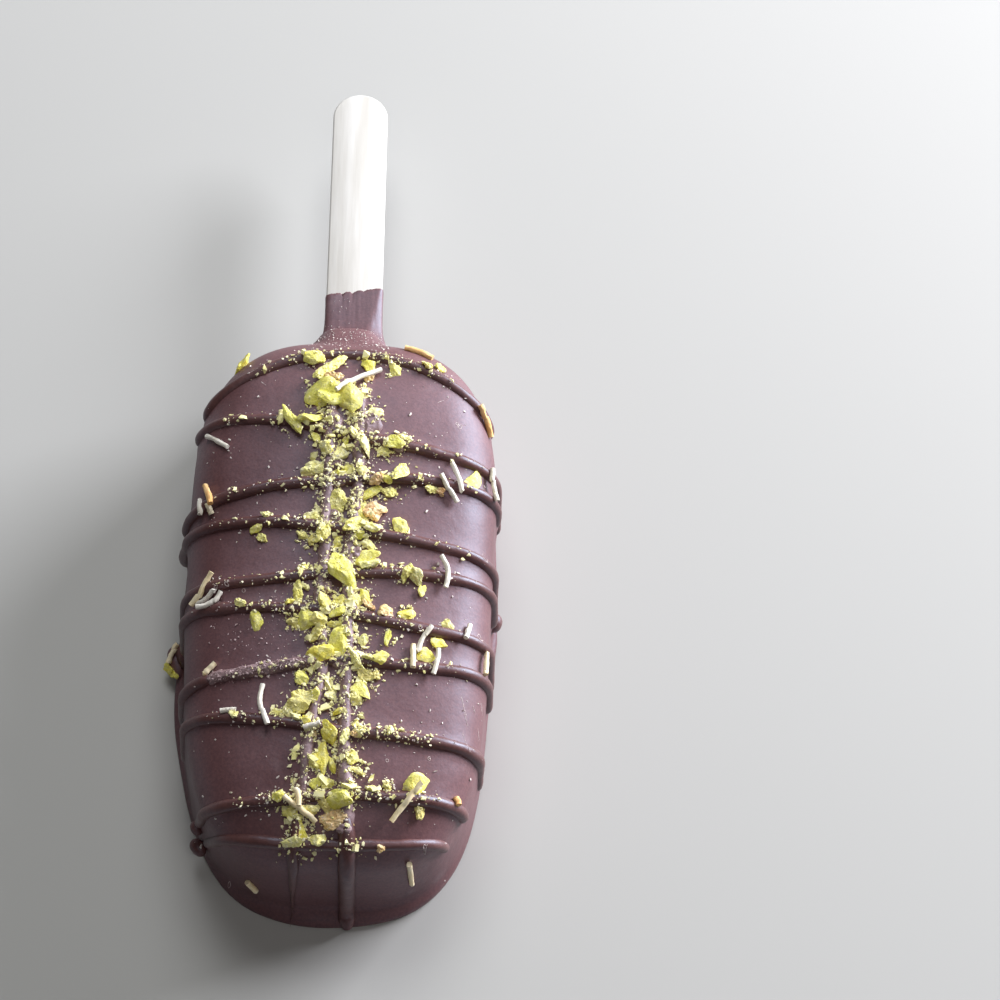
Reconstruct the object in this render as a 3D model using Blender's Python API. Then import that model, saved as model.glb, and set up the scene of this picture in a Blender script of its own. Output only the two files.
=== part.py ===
"""A filled dark chocolate bar on a flat wooden stick, lying on its back.

The bar is one solid: a moulded block with drizzle lines, chopped pistachio and
short pastry strands set fast on its face. The stick is a second solid, held in
a slot. Origin: the middle of the bar's flat back. +Z is up through the face,
+Y runs out along the stick. Units are metres; tables in millimetres say so.
"""

import math
import random

import bmesh
import bpy
from mathutils import Matrix, Vector
from mathutils.bvhtree import BVHTree

MM = 0.001

# Moulded block
BAR_LENGTH = 0.0932
BAR_WIDTH = 0.0500
BAR_THICKNESS = 0.0263
EDGE_ROUNDING = 0.0088
CROWN = 0.0012
DRAFT = math.radians(3)
HEAD_WIDENING = 0.066
HEAD_LEAN = 0.012
SIDE_SQUARENESS = 3.13
HEAD_SQUARENESS = 3.6
FOOT_SQUARENESS = 4.09
OUTLINE_POINTS = 52
BACK_EDGE = 0.0005
ROUNDING_STEPS = 6
FACE_RINGS = (0.35, 0.75)

# Foot of set chocolate: how far it stands out of the wall, in millimetres, by
# bearing in degrees from +X; the stick is at 90 and the lower end at 270
FOOT_HEIGHT = 0.0019
FOOT_BEARINGS = (0, 20, 40, 140, 165, 185, 210, 230, 242, 256, 268, 281, 296, 310, 335, 360)
FOOT_SPREAD_MM = (1.1, 0.5, 0.0, 0.0, 0.5, 1.1, 2.0, 0.8, 0.4, 1.7, 2.7, 2.0, 0.7, 0.1, 0.2, 1.1)

# Wooden stick and its slot
STICK_LENGTH = 0.114
STICK_WIDTH = 0.0095
STICK_THICKNESS = 0.0020
STICK_EDGE = 0.0003
STICK_SIDEWAYS = 0.0007
STICK_MIDDLE = 0.0131
STICK_SHOWN = 0.052
GAP = 0.0003

# Chocolate sleeve that climbs the stick. Each ring: how far it is out from the
# block's end, how much wider and thicker it is, all in millimetres, and its
# share of the slant that sets the right side further out
SLEEVE_COAT = 0.00062
SLEEVE_SLANT = 0.0014
SLEEVE_POINTS = 24
SLEEVE_SQUARENESS = 6
SLEEVE_RINGS_MM = (
    (-6.0, 4.0, 4.2, 0.0),
    (-0.2, 2.1, 2.6, 0.0),
    (1.6, 0.7, 1.0, 0.0),
    (4.2, 0.1, 0.2, 0.0),
    (10.6, 0.0, 0.0, 1.0),
    (11.8, -0.1, -0.1, 1.0),
)

# Drizzle lines across the face. Each row gives where the line starts and ends,
# as a share from -1 at the left foot to 1 at the right foot, and then where it
# crosses, in millimetres along Y: left foot, edge, face, middle, face, edge, foot
DRIZZLE_STATIONS = (-1.0, -0.66, -0.3, 0.0, 0.3, 0.66, 1.0)
DRIZZLE_MM = (
    (-0.68, 0.72, (22.0, 31.5, 38.6, 40.4, 38.6, 31.5, 24.0)),
    (-0.70, 0.98, (22.0, 27.2, 27.2, 24.4, 22.6, 20.4, 17.6)),
    (-0.76, 0.80, (9.5, 12.0, 15.0, 16.2, 17.0, 16.2, 14.5)),
    (-0.92, 0.98, (10.0, 8.8, 8.9, 7.6, 6.1, 4.4, 2.0)),
    (-0.98, 0.88, (-5.0, -2.0, -1.2, -0.1, 0.4, 0.2, -1.5)),
    (-0.98, 0.94, (-5.5, -5.4, -5.9, -6.7, -8.6, -9.6, -12.0)),
    (-0.90, 0.86, (-19.5, -17.9, -16.3, -14.9, -15.2, -15.0, -17.0)),
    (-0.97, 0.90, (-24.0, -23.2, -24.4, -26.1, -26.8, -27.4, -29.0)),
    (-0.98, 0.84, (-35.5, -35.8, -37.0, -36.2, -36.1, -35.4, -35.0)),
    (-0.96, 0.92, (-36.8, -39.4, -41.6, -42.7, -42.5, -39.6, -37.5)),
)
DRIZZLE_RADIUS = 0.00088
DRIZZLE_LIFT = 0.00018
DRIZZLE_WALL_THINNING = 0.25
DRIZZLE_STEP = 0.1
DRIZZLE_SIDES_LEVEL = 1

# Two lengthwise lines: where each crosses, in millimetres along X, from the
# head down to the foot, and its thickness there relative to DRIZZLE_RADIUS
RIBBON_HEAD = 0.034
RIBBON_FOOT = -0.0440
RIBBONS_MM = (
    (-2.2, -2.3, -2.4, -2.4, -3.0, -2.0, -3.4, -4.4, -5.6),
    (2.4, 2.5, 2.4, 1.6, 1.5, 1.6, 1.5, 2.0, 2.6),
)
RIBBON_THICKNESS = (
    (0.8, 1.05, 1.0, 0.95, 0.9, 0.9, 0.85, 0.8, 0.6),
    (0.8, 1.1, 1.0, 1.0, 1.0, 1.0, 1.05, 1.1, 1.15),
)
RIBBON_STEPS = 14
RIBBON_END_HEIGHTS = (0.72, 0.45, 0.2, 0.06)
RIBBON_END_SPREAD = 0.06

# Beads and pools where the drizzle gathered: X, Y, Z, then length, width, height
BEADS_MM = (
    (-25.2, 9.4, 15.0, 4.6, 2.6, 5.0),
    (-26.0, -5.4, 1.3, 7.0, 5.0, 2.6),
    (25.6, 2.0, 4.2, 3.4, 3.2, 4.6),
    (-22.6, -36.2, 5.0, 3.0, 2.4, 7.0),
    (-2.2, 25.8, 26.2, 6.0, 4.0, 2.6),
    (2.9, 23.6, 26.1, 7.0, 4.6, 2.8),
)

# Chopped pistachio, each row X, Y, length, width in millimetres and turn in degrees
SHARDS_MM = (
    (-5.4, 39.4, 3.2, 2.2, -20), (-0.3, 31.3, 5.6, 3.6, -45), (3.6, 38.5, 3.4, 2.0, -55),
    (-17.1, 40.2, 4.2, 2.2, 45), (-8.4, 26.7, 5.2, 1.5, -60), (-5.7, 26.6, 4.2, 2.3, 5),
    (3.4, 21.8, 3.9, 1.8, -35), (8.1, 23.0, 2.6, 2.1, 20), (4.9, 28.7, 2.3, 1.8, -40),
    (-4.3, 18.3, 4.9, 2.3, 20), (4.4, 14.2, 3.7, 1.5, 35), (1.9, 7.7, 3.9, 1.8, 40),
    (5.0, 7.5, 2.9, 1.9, -45), (9.3, 8.3, 3.1, 2.0, -70), (3.6, 2.7, 5.0, 2.0, 25),
    (4.7, 1.0, 2.9, 2.4, 25), (0.4, -0.3, 5.9, 3.2, -65), (4.1, -3.9, 2.4, 1.5, -50),
    (10.6, -6.6, 2.6, 1.8, -10), (-5.0, -8.2, 3.2, 2.6, -60), (0.6, -12.1, 5.0, 3.0, 85),
    (2.9, -14.9, 3.8, 1.5, -50), (-2.4, -14.0, 4.3, 2.4, -10), (6.8, -14.7, 2.6, 2.0, -35),
    (-5.1, -17.8, 2.1, 2.0, 0), (4.1, -19.7, 3.1, 2.0, -30), (-0.5, -20.5, 2.3, 1.6, 30),
    (-6.6, -23.2, 2.8, 2.0, 85), (-0.7, -26.7, 3.7, 2.2, -65), (1.7, -27.5, 2.6, 1.4, 75),
    (-1.6, -30.7, 4.7, 1.8, 90), (-2.2, -34.6, 2.3, 1.6, 15), (1.4, -37.0, 3.7, 2.7, -10),
    (-4.5, -41.4, 3.6, 1.9, 90), (-5.5, -43.1, 3.6, 1.6, 10), (-1.8, -42.5, 2.6, 2.3, -35),
    (12.3, -34.3, 4.1, 2.8, 60), (15.7, -10.9, 2.5, 1.8, -20), (13.7, -13.4, 2.6, 2.1, -30),
    (12.0, -0.1, 3.0, 1.8, -65), (20.8, 18.2, 3.8, 2.2, 55), (-12.5, -8.2, 3.0, 1.8, -70),
)
LUMPS_MM = (
    (-2.6, 37.8, 7.6, 1.7, 60), (-4.0, 31.7, 4.6, 3.6, 35), (7.7, 37.3, 2.3, 1.7, -30),
    (-2.8, 21.4, 2.2, 1.9, 0), (-0.4, 21.1, 3.0, 2.1, 65), (6.3, 21.7, 2.0, 1.7, 5),
    (9.4, 17.7, 6.0, 2.1, 70), (7.2, 14.5, 2.7, 1.8, -5), (-0.9, 11.7, 4.5, 2.4, 75),
    (4.4, 11.0, 4.4, 3.0, -10), (-2.6, 6.3, 3.6, 2.0, 65), (-6.3, -3.4, 4.3, 1.6, -85),
    (-2.4, -4.9, 3.4, 2.4, 85), (0.4, -5.3, 2.4, 2.0, 0), (2.6, -5.0, 3.1, 2.0, 5),
    (7.4, -6.8, 2.6, 2.3, 35), (-2.9, -9.4, 3.0, 2.2, -50), (0.0, -8.6, 3.1, 1.8, 5),
    (4.5, -17.2, 2.6, 1.7, -35), (-5.0, -21.8, 3.9, 3.1, 10), (-3.0, -31.1, 2.4, 1.9, 70),
    (2.6, -30.6, 2.1, 1.7, -70), (-1.1, -37.6, 3.3, 1.6, -70), (0.8, -39.7, 4.3, 2.4, 15),
    (-5.8, -38.9, 3.3, 1.8, -30), (-3.2, -38.3, 2.4, 2.1, -45), (10.4, 0.1, 3.1, 1.5, 70),
)
NUT_GROWTH = 1.15
NUT_HEIGHT = (0.62, 0.0011)
NUT_LIFT = 0.36
NUT_RAGGEDNESS = 0.15
NUT_TILT = math.radians(14)
SHARD_SIDES = 5
SHARD_TOP = 0.72

# Toasted pastry strands, each row X, Y of one end, X, Y of the other, and bow
STRANDS_MM = (
    (0.6, 34.3, 5.2, 37.1, 0.3), (-22.0, 25.5, -18.5, 22.6, 0.0), (9.4, 43.6, 13.9, 41.4, 0.2),
    (21.8, 33.3, 23.6, 28.8, 0.2), (-21.7, 16.5, -20.4, 11.6, 0.1), (-19.8, 0.3, -23.3, -3.6, 0.1),
    (-21.5, -5.2, -18.1, -3.0, -0.5), (15.6, 17.8, 18.2, 13.8, 0.0), (17.3, 20.4, 19.0, 15.7, 0.0),
    (23.8, 21.4, 24.6, 16.2, -0.2), (15.8, 3.9, 16.5, -1.4, 0.7), (20.4, -6.7, 19.8, -9.5, 0.1),
    (14.5, -8.6, 12.5, -12.6, -0.4), (11.7, -11.7, 11.7, -15.5, 0.0), (15.6, -12.0, 14.9, -16.1, 0.2),
    (23.1, -10.1, 22.9, -14.2, 0.0), (-20.6, -16.5, -18.3, -14.7, 0.0), (-11.0, -19.0, -10.0, -25.4, -0.8),
    (-17.3, -23.2, -15.0, -23.2, 0.1), (-7.1, -36.8, -2.2, -40.1, 0.1), (13.4, -34.6, 9.0, -39.8, 0.0),
    (-4.7, -26.0, -1.9, -25.7, 0.0),
)
STRAND_RADIUS = 0.00052
STRAND_LIFT = 0.00030
STRAND_STEPS = 3

WELD = 0.000005
CHOCOLATE_COLOUR = (0.075, 0.036, 0.030, 1)
WOOD_COLOUR = (0.78, 0.66, 0.49, 1)
SEED = 10


def clear_scene():
    for thing in list(bpy.data.objects):
        bpy.data.objects.remove(thing, do_unlink=True)


def make_material(name, colour, roughness):
    material = bpy.data.materials.new(name)
    material.use_nodes = True
    shader = material.node_tree.nodes["Principled BSDF"]
    shader.inputs["Base Color"].default_value = colour
    shader.inputs["Roughness"].default_value = roughness
    shader.inputs["Metallic"].default_value = 0
    return material


def object_from(bm, name, collection=None):
    """Turn a bmesh into an object, with its faces pointing out."""
    bmesh.ops.recalc_face_normals(bm, faces=bm.faces)
    mesh = bpy.data.meshes.new(name)
    bm.to_mesh(mesh)
    bm.free()
    made = bpy.data.objects.new(name, mesh)
    (collection or bpy.context.scene.collection).objects.link(made)
    return made


def spline_value(values, stations, at):
    """A smooth curve through values at the given stations."""
    last = len(stations) - 2
    i = next((k for k in range(last + 1) if at <= stations[k + 1]), last)
    width = stations[i + 1] - stations[i]
    t = (at - stations[i]) / width
    before, after = max(i - 1, 0), min(i + 2, len(values) - 1)
    slope_in = (values[i + 1] - values[before]) / (stations[i + 1] - stations[before]) * width
    slope_out = (values[after] - values[i]) / (stations[after] - stations[i]) * width
    return (
        values[i] * (2 * t**3 - 3 * t**2 + 1)
        + values[i + 1] * (3 * t**2 - 2 * t**3)
        + slope_in * (t**3 - 2 * t**2 + t)
        + slope_out * (t**3 - t**2)
    )


def shaped(x, y):
    """X once the block is widened, and leant a little, towards its head."""
    return x * (1 + HEAD_WIDENING * 2 * y / BAR_LENGTH) + HEAD_LEAN * max(y, 0)


def end_squareness(y):
    return HEAD_SQUARENESS if y > 0 else FOOT_SQUARENESS


def outline_point(turn, inset):
    """One point of the block's plan outline, drawn in by inset."""
    across, along = math.cos(turn), math.sin(turn)
    half_width = BAR_WIDTH / 2 - inset
    half_length = BAR_LENGTH / 2 - inset
    x = math.copysign(abs(across) ** (2 / SIDE_SQUARENESS), across) * half_width
    y = math.copysign(abs(along) ** (2 / end_squareness(along)), along) * half_length
    return shaped(x, y), y


def even_turns(count):
    """Turns that set points evenly round the outline."""
    fine = [2 * math.pi * k / 1440 for k in range(1441)]
    points = [Vector(outline_point(turn, 0)) for turn in fine]
    reach = [0.0]
    for a, b in zip(points, points[1:]):
        reach.append(reach[-1] + (b - a).length)
    turns = []
    k = 0
    for step in range(count):
        target = reach[-1] * step / count
        while reach[k + 1] < target:
            k += 1
        share = (target - reach[k]) / (reach[k + 1] - reach[k])
        turns.append(fine[k] + (fine[k + 1] - fine[k]) * share)
    return turns


def foot_spread(turn):
    """How far the set foot stands out of the wall at this turn."""
    x, y = outline_point(turn, 0)
    bearing = math.degrees(math.atan2(y, x)) % 360
    return max(spline_value(FOOT_SPREAD_MM, FOOT_BEARINGS, bearing), 0) * MM


def block_rings():
    """Inset, height and share of the foot for each ring, from back to face."""
    wall_top = BAR_THICKNESS - CROWN - EDGE_ROUNDING
    rings = [(BACK_EDGE, 0.0, 1.0), (0.0, 0.4 * FOOT_HEIGHT, 1.0), (0.0, 0.75 * FOOT_HEIGHT, 0.75)]
    rings.append((0.0, FOOT_HEIGHT, 0.0))
    lean = math.tan(DRAFT)
    for share in (0.5, 1.0):
        height = FOOT_HEIGHT + (wall_top - FOOT_HEIGHT) * share
        rings.append((lean * (height - FOOT_HEIGHT), height, 0.0))
    shoulder = rings[-1][0]
    for step in range(1, ROUNDING_STEPS + 1):
        angle = math.pi / 2 * step / ROUNDING_STEPS
        inset = shoulder + EDGE_ROUNDING * (1 - math.cos(angle))
        rings.append((inset, wall_top + EDGE_ROUNDING * math.sin(angle), 0.0))
    inner = rings[-1][0]
    for share in FACE_RINGS:
        inset = inner + (BAR_WIDTH / 2 - inner) * share
        rings.append((inset, BAR_THICKNESS - CROWN * (1 - share) ** 2, 0.0))
    return rings


def moulded_block():
    """The bare block: rings bridged from the back up to the face."""
    bm = bmesh.new()
    turns = even_turns(OUTLINE_POINTS)
    loops = []
    for inset, height, foot in block_rings():
        verts = []
        for turn in turns:
            x, y = outline_point(turn, inset)
            out = Vector((x, y, 0)).normalized() * foot * foot_spread(turn)
            verts.append(bm.verts.new((x + out.x, y + out.y, height)))
        loops.append([bm.edges.new((a, b)) for a, b in zip(verts, verts[1:] + verts[:1])])
    for lower, upper in zip(loops, loops[1:]):
        bmesh.ops.bridge_loops(bm, edges=lower + upper)
    for loop in (loops[0], loops[-1]):
        bmesh.ops.edgeloop_fill(bm, edges=loop)
    return object_from(bm, "chocolate_bar")


def section_at(y):
    """The block's outline across X at this Y, from left foot to right foot."""
    side = []
    for inset, height, _foot in block_rings()[3:]:
        reach = 1 - (abs(y) / (BAR_LENGTH / 2 - inset)) ** end_squareness(y)
        if reach <= 0:
            break
        width = (BAR_WIDTH / 2 - inset) * reach ** (1 / SIDE_SQUARENESS)
        side.append((width, height))
    top = side[-1][1]
    across = [(-x, z) for x, z in side] + [(0.0, top)] + [(x, z) for x, z in reversed(side)]
    return [(shaped(x, y), z) for x, z in across]


def point_on_section(y, share):
    """The point at this share, -1 to 1, of the way across the section at Y."""
    points = [Vector((x, y, z)) for x, z in section_at(y)]
    lengths = [(b - a).length for a, b in zip(points, points[1:])]
    target = (share + 1) / 2 * sum(lengths)
    for start, end, length in zip(points, points[1:], lengths):
        if target <= length:
            return start.lerp(end, target / length)
        target -= length
    return points[-1]


def place_on(surface, x, y):
    """The place and the normal of the block straight below a point in plan."""
    return surface.ray_cast(Vector((x, y, 4 * BAR_THICKNESS)), Vector((0, 0, -1)))[:2]


def lifted(surface, point, lift):
    """The nearest place on the block, raised along its normal."""
    place, normal, _index, _distance = surface.find_nearest(point)
    return place + normal * lift


def tube(name, points, thickness, radius, level, collection):
    """A closed round tube along points; level sets how many sides it has."""
    curve = bpy.data.curves.new(name, "CURVE")
    curve.dimensions = "3D"
    curve.bevel_depth = radius
    curve.bevel_resolution = level
    curve.use_fill_caps = True
    spline = curve.splines.new("POLY")
    spline.points.add(len(points) - 1)
    for knot, point, share in zip(spline.points, points, thickness):
        knot.co = (*point, 1)
        knot.radius = share
    guide = bpy.data.objects.new(name + "_guide", curve)
    bpy.context.scene.collection.objects.link(guide)
    bpy.context.view_layer.update()
    mesh = bpy.data.meshes.new_from_object(guide.evaluated_get(bpy.context.evaluated_depsgraph_get()))
    bpy.data.objects.remove(guide, do_unlink=True)
    bm = bmesh.new()
    bm.from_mesh(mesh)
    bpy.data.meshes.remove(mesh)
    bmesh.ops.remove_doubles(bm, verts=bm.verts, dist=WELD / 2)
    object_from(bm, name, collection)


def drizzle_lines(surface, collection):
    for row, (start, end, crossings) in enumerate(DRIZZLE_MM):
        points = []
        thickness = []
        steps = round((end - start) / DRIZZLE_STEP)
        for step in range(steps + 1):
            share = start + (end - start) * step / steps
            y = spline_value(crossings, DRIZZLE_STATIONS, share) * MM
            points.append(lifted(surface, point_on_section(y, share), DRIZZLE_LIFT))
            on_wall = max(abs(share) - DRIZZLE_STATIONS[-2], 0) / (1 - DRIZZLE_STATIONS[-2])
            uneven = 1 + 0.1 * math.sin(2.1 * row + 0.9 * step)
            thickness.append(uneven * (1 - DRIZZLE_WALL_THINNING * on_wall))
        tube(f"drizzle_{row}", points, thickness, DRIZZLE_RADIUS, DRIZZLE_SIDES_LEVEL, collection)


def lengthwise_ribbons(surface, collection):
    for row, (crossings, widths) in enumerate(zip(RIBBONS_MM, RIBBON_THICKNESS)):
        stations = [k / (len(crossings) - 1) for k in range(len(crossings))]
        face = []
        for step in range(RIBBON_STEPS + 1):
            share = step / RIBBON_STEPS
            x = spline_value(crossings, stations, share) * MM
            y = RIBBON_HEAD + (RIBBON_FOOT - RIBBON_HEAD) * share
            face.append(place_on(surface, x, y)[0])
        top = face[-1]
        for height in RIBBON_END_HEIGHTS:
            x = top.x * (1 + RIBBON_END_SPREAD * (1 - height))
            face.append(Vector((x, -BAR_LENGTH / 2 - FOOT_HEIGHT, top.z * height)))
        points = [lifted(surface, point, DRIZZLE_LIFT) for point in face]
        last = len(points) - 1
        thickness = [spline_value(widths, stations, min(k / RIBBON_STEPS, 1)) for k in range(last + 1)]
        tube(f"ribbon_{row}", points, thickness, DRIZZLE_RADIUS, DRIZZLE_SIDES_LEVEL, collection)


def beads(collection):
    for row, (x, y, z, length, width, height) in enumerate(BEADS_MM):
        bm = bmesh.new()
        bmesh.ops.create_icosphere(bm, subdivisions=2, radius=0.5)
        bmesh.ops.scale(bm, verts=bm.verts, vec=Vector((width, length, height)) * MM)
        bmesh.ops.translate(bm, verts=bm.verts, vec=Vector((x, y, z)) * MM)
        floor = [v for v in bm.verts if v.co.z < 0]
        for vert in floor:
            vert.co.z = 0
        object_from(bm, f"bead_{row}", collection)


def chip(kind, length, width):
    """One chopped nut: a cut shard with flat faces or a rough lump."""
    bm = bmesh.new()
    if kind == "shard":
        top = 0.5 * SHARD_TOP
        bmesh.ops.create_cone(bm, cap_ends=True, segments=SHARD_SIDES, radius1=0.5, radius2=top, depth=1)
    else:
        bmesh.ops.create_icosphere(bm, subdivisions=1, radius=0.5)
    share, least = NUT_HEIGHT
    height = max(width * share, least)
    for vert in bm.verts:
        vert.co += Vector([random.uniform(-1, 1) for _axis in range(3)]) * NUT_RAGGEDNESS * 0.5
    bmesh.ops.scale(bm, verts=bm.verts, vec=(length, width, height))
    return bm, height


def chopped_nuts(surface, collection):
    rows = [("shard", *row) for row in SHARDS_MM] + [("lump", *row) for row in LUMPS_MM]
    for number, (kind, x, y, length, width, turn) in enumerate(rows):
        bm, height = chip(kind, length * MM * NUT_GROWTH, width * MM * NUT_GROWTH)
        place, normal = place_on(surface, x * MM, y * MM)
        lean = Matrix.Rotation(random.uniform(-1, 1) * NUT_TILT, 4, "X") @ Matrix.Rotation(
            random.uniform(-1, 1) * NUT_TILT, 4, "Y"
        )
        stand = Vector((0, 0, 1)).rotation_difference(normal).to_matrix().to_4x4()
        place = place + normal * height * NUT_LIFT
        matrix = Matrix.Translation(place) @ stand @ Matrix.Rotation(math.radians(turn), 4, "Z") @ lean
        bmesh.ops.transform(bm, matrix=matrix, verts=bm.verts)
        object_from(bm, f"nut_{number}", collection)


def pastry_strands(surface, collection):
    for row, (x1, y1, x2, y2, bow) in enumerate(STRANDS_MM):
        start, end = Vector((x1, y1)), Vector((x2, y2))
        sideways = Vector((start.y - end.y, end.x - start.x)).normalized()
        points = []
        for step in range(STRAND_STEPS + 1):
            share = step / STRAND_STEPS
            flat = start.lerp(end, share) + sideways * bow * math.sin(math.pi * share)
            place, normal = place_on(surface, *(flat * MM))
            points.append(place + normal * STRAND_LIFT)
        tube(f"strand_{row}", points, [1.0] * len(points), STRAND_RADIUS, 0, collection)


def sleeve_ring(bm, y, half_width, half_height, slant):
    """A flattened ring round the stick, its right side further out by slant."""
    verts = []
    for k in range(SLEEVE_POINTS):
        turn = 2 * math.pi * k / SLEEVE_POINTS
        across = math.copysign(abs(math.cos(turn)) ** (2 / SLEEVE_SQUARENESS), math.cos(turn))
        up = math.copysign(abs(math.sin(turn)) ** (2 / SLEEVE_SQUARENESS), math.sin(turn))
        ragged = 0.3 * slant * math.sin(3 * turn + 0.5)
        along = y + slant * 0.5 * across + ragged
        place = (STICK_SIDEWAYS + half_width * across, along, STICK_MIDDLE + half_height * up)
        verts.append(bm.verts.new(place))
    return [bm.edges.new((a, b)) for a, b in zip(verts, verts[1:] + verts[:1])]


def sleeve(collection):
    """Chocolate that ran up the stick, flared where it meets the block."""
    bm = bmesh.new()
    loops = []
    for out, wider, thicker, slant in SLEEVE_RINGS_MM:
        y = BAR_LENGTH / 2 + out * MM
        half_width = STICK_WIDTH / 2 + SLEEVE_COAT + wider * MM
        half_height = STICK_THICKNESS / 2 + SLEEVE_COAT + thicker * MM
        loops.append(sleeve_ring(bm, y, half_width, half_height, slant * SLEEVE_SLANT))
    for lower, upper in zip(loops, loops[1:]):
        bmesh.ops.bridge_loops(bm, edges=lower + upper)
    for loop in (loops[0], loops[-1]):
        bmesh.ops.edgeloop_fill(bm, edges=loop)
    object_from(bm, "sleeve", collection)


def flat_stick(name, extra, length):
    """A flat strip with round ends; extra widens it all round for the slot."""
    bm = bmesh.new()
    radius = STICK_WIDTH / 2 + extra
    bmesh.ops.create_circle(bm, cap_ends=True, segments=28, radius=radius)
    half = length / 2 - STICK_WIDTH / 2
    for vert in bm.verts:
        vert.co.y += half if vert.co.y > 0 else -half
    thickness = STICK_THICKNESS + 2 * extra
    rim = bmesh.ops.extrude_face_region(bm, geom=bm.faces[:])["geom"]
    risen = [item for item in rim if isinstance(item, bmesh.types.BMVert)]
    bmesh.ops.translate(bm, verts=risen, vec=(0, 0, thickness))
    bmesh.ops.translate(bm, verts=bm.verts, vec=(0, 0, -thickness / 2))
    edges = [e for e in bm.edges if abs(e.verts[0].co.z - e.verts[1].co.z) < WELD]
    offset = STICK_EDGE + extra / 2
    bmesh.ops.bevel(bm, geom=edges, offset=offset, affect="EDGES", segments=1, profile=0.5)
    outer_end = BAR_LENGTH / 2 + STICK_SHOWN
    middle = Vector((STICK_SIDEWAYS, outer_end - STICK_LENGTH / 2, STICK_MIDDLE))
    bmesh.ops.translate(bm, verts=bm.verts, vec=middle)
    return object_from(bm, name)


def apply_boolean(target, operation, solver, cutter=None, collection=None):
    """Join or cut, then bake the result into the target's mesh."""
    boolean = target.modifiers.new(operation.lower(), "BOOLEAN")
    boolean.operation = operation
    boolean.solver = solver
    if collection:
        boolean.operand_type = "COLLECTION"
        boolean.collection = collection
    else:
        boolean.object = cutter
    bpy.context.view_layer.update()
    joined = bpy.data.meshes.new_from_object(target.evaluated_get(bpy.context.evaluated_depsgraph_get()))
    target.modifiers.clear()
    target.data = joined
    for used in list(collection.objects) if collection else [cutter]:
        bpy.data.objects.remove(used, do_unlink=True)


def keep_largest_piece(target):
    """Drop scraps and the shells of sealed hollows, and weld slivers."""
    bm = bmesh.new()
    bm.from_mesh(target.data)
    bmesh.ops.remove_doubles(bm, verts=bm.verts, dist=WELD)
    bmesh.ops.dissolve_degenerate(bm, edges=bm.edges, dist=WELD / 2)
    unseen = set(bm.faces)
    groups = []
    while unseen:
        group = [unseen.pop()]
        for face in group:
            for other in [near for edge in face.edges for near in edge.link_faces]:
                if other in unseen:
                    unseen.remove(other)
                    group.append(other)
        groups.append(group)
    groups.sort(key=len)
    loose = [face for group in groups[:-1] for face in group]
    bmesh.ops.delete(bm, geom=loose, context="FACES")
    bmesh.ops.triangulate(bm, faces=bm.faces)
    bm.to_mesh(target.data)
    bm.free()


def build_bar():
    random.seed(SEED)
    bar = moulded_block()
    bm = bmesh.new()
    bm.from_mesh(bar.data)
    surface = BVHTree.FromBMesh(bm)
    bm.free()
    on_bar = bpy.data.collections.new("on_bar")
    bpy.context.scene.collection.children.link(on_bar)
    drizzle_lines(surface, on_bar)
    lengthwise_ribbons(surface, on_bar)
    beads(on_bar)
    chopped_nuts(surface, on_bar)
    pastry_strands(surface, on_bar)
    sleeve(on_bar)
    apply_boolean(bar, "UNION", "EXACT", collection=on_bar)
    slot = flat_stick("slot_cutter", GAP, STICK_LENGTH)
    apply_boolean(bar, "DIFFERENCE", "EXACT", cutter=slot)
    keep_largest_piece(bar)
    bpy.data.collections.remove(on_bar)
    bar.data.materials.clear()
    bar.data.materials.append(make_material("dark_chocolate", CHOCOLATE_COLOUR, 0.38))
    bar.data.shade_smooth()
    bar.data.set_sharp_from_angle(angle=math.radians(35))


def build_stick():
    stick = flat_stick("stick", 0.0, STICK_LENGTH)
    stick.data.materials.append(make_material("pale_wood", WOOD_COLOUR, 0.7))
    stick.data.shade_smooth()
    stick.data.set_sharp_from_angle(angle=math.radians(35))


clear_scene()
build_bar()
build_stick()
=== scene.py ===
# %% [markdown]
# # A pistachio chocolate bar on a stick
# This lesson dresses a plain solid: a filled dark chocolate bar that lies on its back,
# with drizzle, chopped pistachio and strands of toasted pastry on its face. The solid
# gives the size and the place of everything. What is made here is the surface: a satin
# coat, poured lines, cut nuts and fine crumbs. The first step loads the solid and keeps
# its box.

# %% Load the frame
import math
import random

import bmesh
import bpy
from mathutils import Matrix, Vector, noise
from mathutils.bvhtree import BVHTree
from mathutils.kdtree import KDTree


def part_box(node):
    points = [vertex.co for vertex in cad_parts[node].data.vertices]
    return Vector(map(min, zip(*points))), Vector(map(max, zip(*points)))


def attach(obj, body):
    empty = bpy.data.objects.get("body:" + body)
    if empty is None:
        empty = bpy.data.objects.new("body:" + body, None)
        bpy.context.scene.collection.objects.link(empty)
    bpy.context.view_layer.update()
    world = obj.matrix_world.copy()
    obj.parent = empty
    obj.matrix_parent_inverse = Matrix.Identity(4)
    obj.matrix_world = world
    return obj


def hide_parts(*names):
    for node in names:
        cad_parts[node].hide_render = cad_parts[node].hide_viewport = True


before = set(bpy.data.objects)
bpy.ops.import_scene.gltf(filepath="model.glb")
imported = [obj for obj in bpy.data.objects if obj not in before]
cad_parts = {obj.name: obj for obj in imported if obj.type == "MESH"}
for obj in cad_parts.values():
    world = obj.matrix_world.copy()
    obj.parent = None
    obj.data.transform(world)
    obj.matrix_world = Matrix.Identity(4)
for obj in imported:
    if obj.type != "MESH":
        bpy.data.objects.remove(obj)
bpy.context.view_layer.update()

MM = 0.001
UP = Vector((0, 0, 1))
DOWN = Vector((0, 0, -1))
bar_low, bar_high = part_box("chocolate_bar")
stick_low, stick_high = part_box("stick")
for part, corners in (("bar", (bar_low, bar_high)), ("stick", (stick_low, stick_high))):
    print(part, "in mm:", *[[round(v / MM, 1) for v in corner] for corner in corners])


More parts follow.
